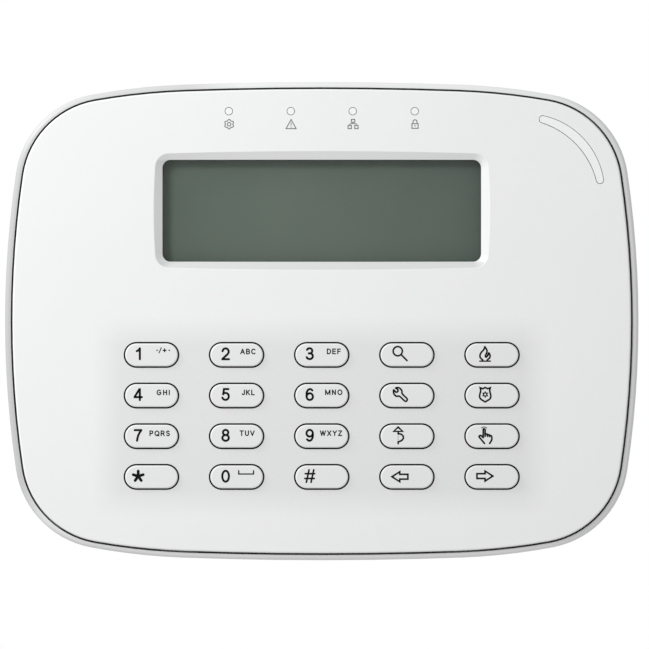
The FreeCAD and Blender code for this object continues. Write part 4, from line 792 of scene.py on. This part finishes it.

# ------------------------------------------------------------------ keymat: a sheet, and one dome and pill under each key
def keymat():
    lo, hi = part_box("keymat")
    plate, cutter = bmesh.new(), bmesh.new()
    box = bmesh.ops.create_cube(plate, size=1.0)["verts"]
    h_top = 13.8
    for v in box:
        v.co = Vector(((lo.x + hi.x) / 2 + v.co.x * (hi.x - lo.x), (-12.62 - h_top) / 2 * MM + v.co.y * (h_top - 12.62) * MM, (lo.z + hi.z) / 2 + v.co.z * (hi.z - lo.z)))
    bmesh.ops.bevel(plate, geom=[e for e in plate.edges if abs(e.verts[0].co.y - e.verts[1].co.y) > 0.5 * MM], offset=2.0 * MM, segments=6, affect="EDGES")
    bmesh.ops.bevel(plate, geom=[e for e in plate.edges if e.verts[0].co.y < -13.7 * MM and e.verts[1].co.y < -13.7 * MM and e.is_manifold
                                 and min(abs(f.normal.y) for f in e.link_faces) < 0.5], offset=0.25 * MM, segments=3, affect="EDGES")
    keys = [n for n in nodes if n.startswith("key_") and n != "key_backlight_leds"]
    for key in keys:
        a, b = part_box(key)
        x, z = (a.x + b.x) / 2 / MM, (a.z + b.z) / 2 / MM
        lathe(cutter, x, z, [(0.0001, -12.0), (3.9, -12.0), (3.9, -14.5), (0.0001, -14.5)], 48)
        dome, pill = bmesh.new(), bmesh.new()
        lathe(dome, x, z, [(0.0001, -16.6), (1.75, -16.6), (1.93, -16.53), (2.0, -16.35), (2.0, -15.55), (2.12, -15.38), (2.6, -15.32), (2.85, -15.22), (3.05, -15.0),
                           (3.72, -13.98), (3.8, -13.78), (3.885, -13.7), (3.885, -12.66), (2.9, -12.66), (2.86, -12.8), (2.14, -14.5), (2.02, -14.6), (0.0001, -14.6)], 40)
        lathe(pill, x, z, [(0.0001, -14.13), (1.42, -14.13), (1.5, -14.19), (1.5, -14.58), (0.0001, -14.58)], 32)
        for bm, name, mat, node in ((dome, "dome", "silicone", "keymat"), (pill, "pill", "carbon", "contact_pills")):
            bmesh.ops.remove_doubles(bm, verts=bm.verts, dist=0.002 * MM)
            o = finish(bm, key + "_" + name, materials[mat], "front_unit")
            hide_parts(node)
            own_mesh(o)
    bmesh.ops.remove_doubles(cutter, verts=cutter.verts, dist=0.002 * MM)
    bmesh.ops.recalc_face_normals(cutter, faces=cutter.faces)
    bmesh.ops.recalc_face_normals(plate, faces=plate.faces)
    pm, cm = bpy.data.meshes.new("keymat_sheet"), bpy.data.meshes.new("keymat_cutter")
    plate.to_mesh(pm)
    cutter.to_mesh(cm)
    sheet, tool = bpy.data.objects.new("keymat_sheet", pm), bpy.data.objects.new("keymat_cutter", cm)
    for o in (sheet, tool):
        scene.collection.objects.link(o)
    cut = sheet.modifiers.new("holes", "BOOLEAN")
    cut.operation, cut.object, cut.solver = "DIFFERENCE", tool, "EXACT"
    bpy.context.view_layer.update()
    done = bpy.data.meshes.new_from_object(sheet.evaluated_get(bpy.context.evaluated_depsgraph_get()))
    sheet.modifiers.clear()
    sheet.data = done
    bpy.data.objects.remove(tool)
    done.materials.clear()
    done.materials.append(materials["silicone"])
    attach(sheet, "front_unit")
    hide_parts("keymat")


keymat()

# ------------------------------------------------------------------ floor, light and world
floor_me = bpy.data.meshes.new("floor")
bm = bmesh.new()
bmesh.ops.create_grid(bm, x_segments=4, y_segments=4, size=3.0)
bm.to_mesh(floor_me)
bm.free()
floor = bpy.data.objects.new("floor", floor_me)
floor.location = (0, 0, -0.42)
scene.collection.objects.link(floor)
floor_me.materials.append(plastic("pale_floor", srgb(240, 240, 239), 0.7, 300.0, 0.0001, 0.01))

world = bpy.data.worlds.new("world")
scene.world = world
world.use_nodes = True
wt = world.node_tree
bg = wt.nodes["Background"]
bg.inputs[0].default_value = (1, 1, 1, 1)
FILL, SEEN = 0.58, 1.0
path = wt.nodes.new("ShaderNodeLightPath")
mixv = wt.nodes.new("ShaderNodeMix")
mixv.inputs[2].default_value = FILL
mixv.inputs[3].default_value = SEEN
wt.links.new(path.outputs["Is Camera Ray"], mixv.inputs[0])
wt.links.new(mixv.outputs[0], bg.inputs[1])


def area(name, loc, target, size, power, colour=(1, 1, 1)):
    d = bpy.data.lights.new(name, "AREA")
    d.shape = "RECTANGLE"
    d.size, d.size_y = size
    d.energy = power
    d.color = colour
    o = bpy.data.objects.new(name, d)
    scene.collection.objects.link(o)
    o.location = loc
    o.rotation_euler = (Vector(target) - Vector(loc)).to_track_quat("-Z", "Y").to_euler()
    o.visible_camera = False
    return o


area("key_light", (-0.36, -0.46, 0.33), (0, 0, 0), (0.14, 0.14), 1.86)
area("rake_light", (-0.45, -0.13, 0.30), (0, 0, 0), (0.12, 0.12), 1.05)
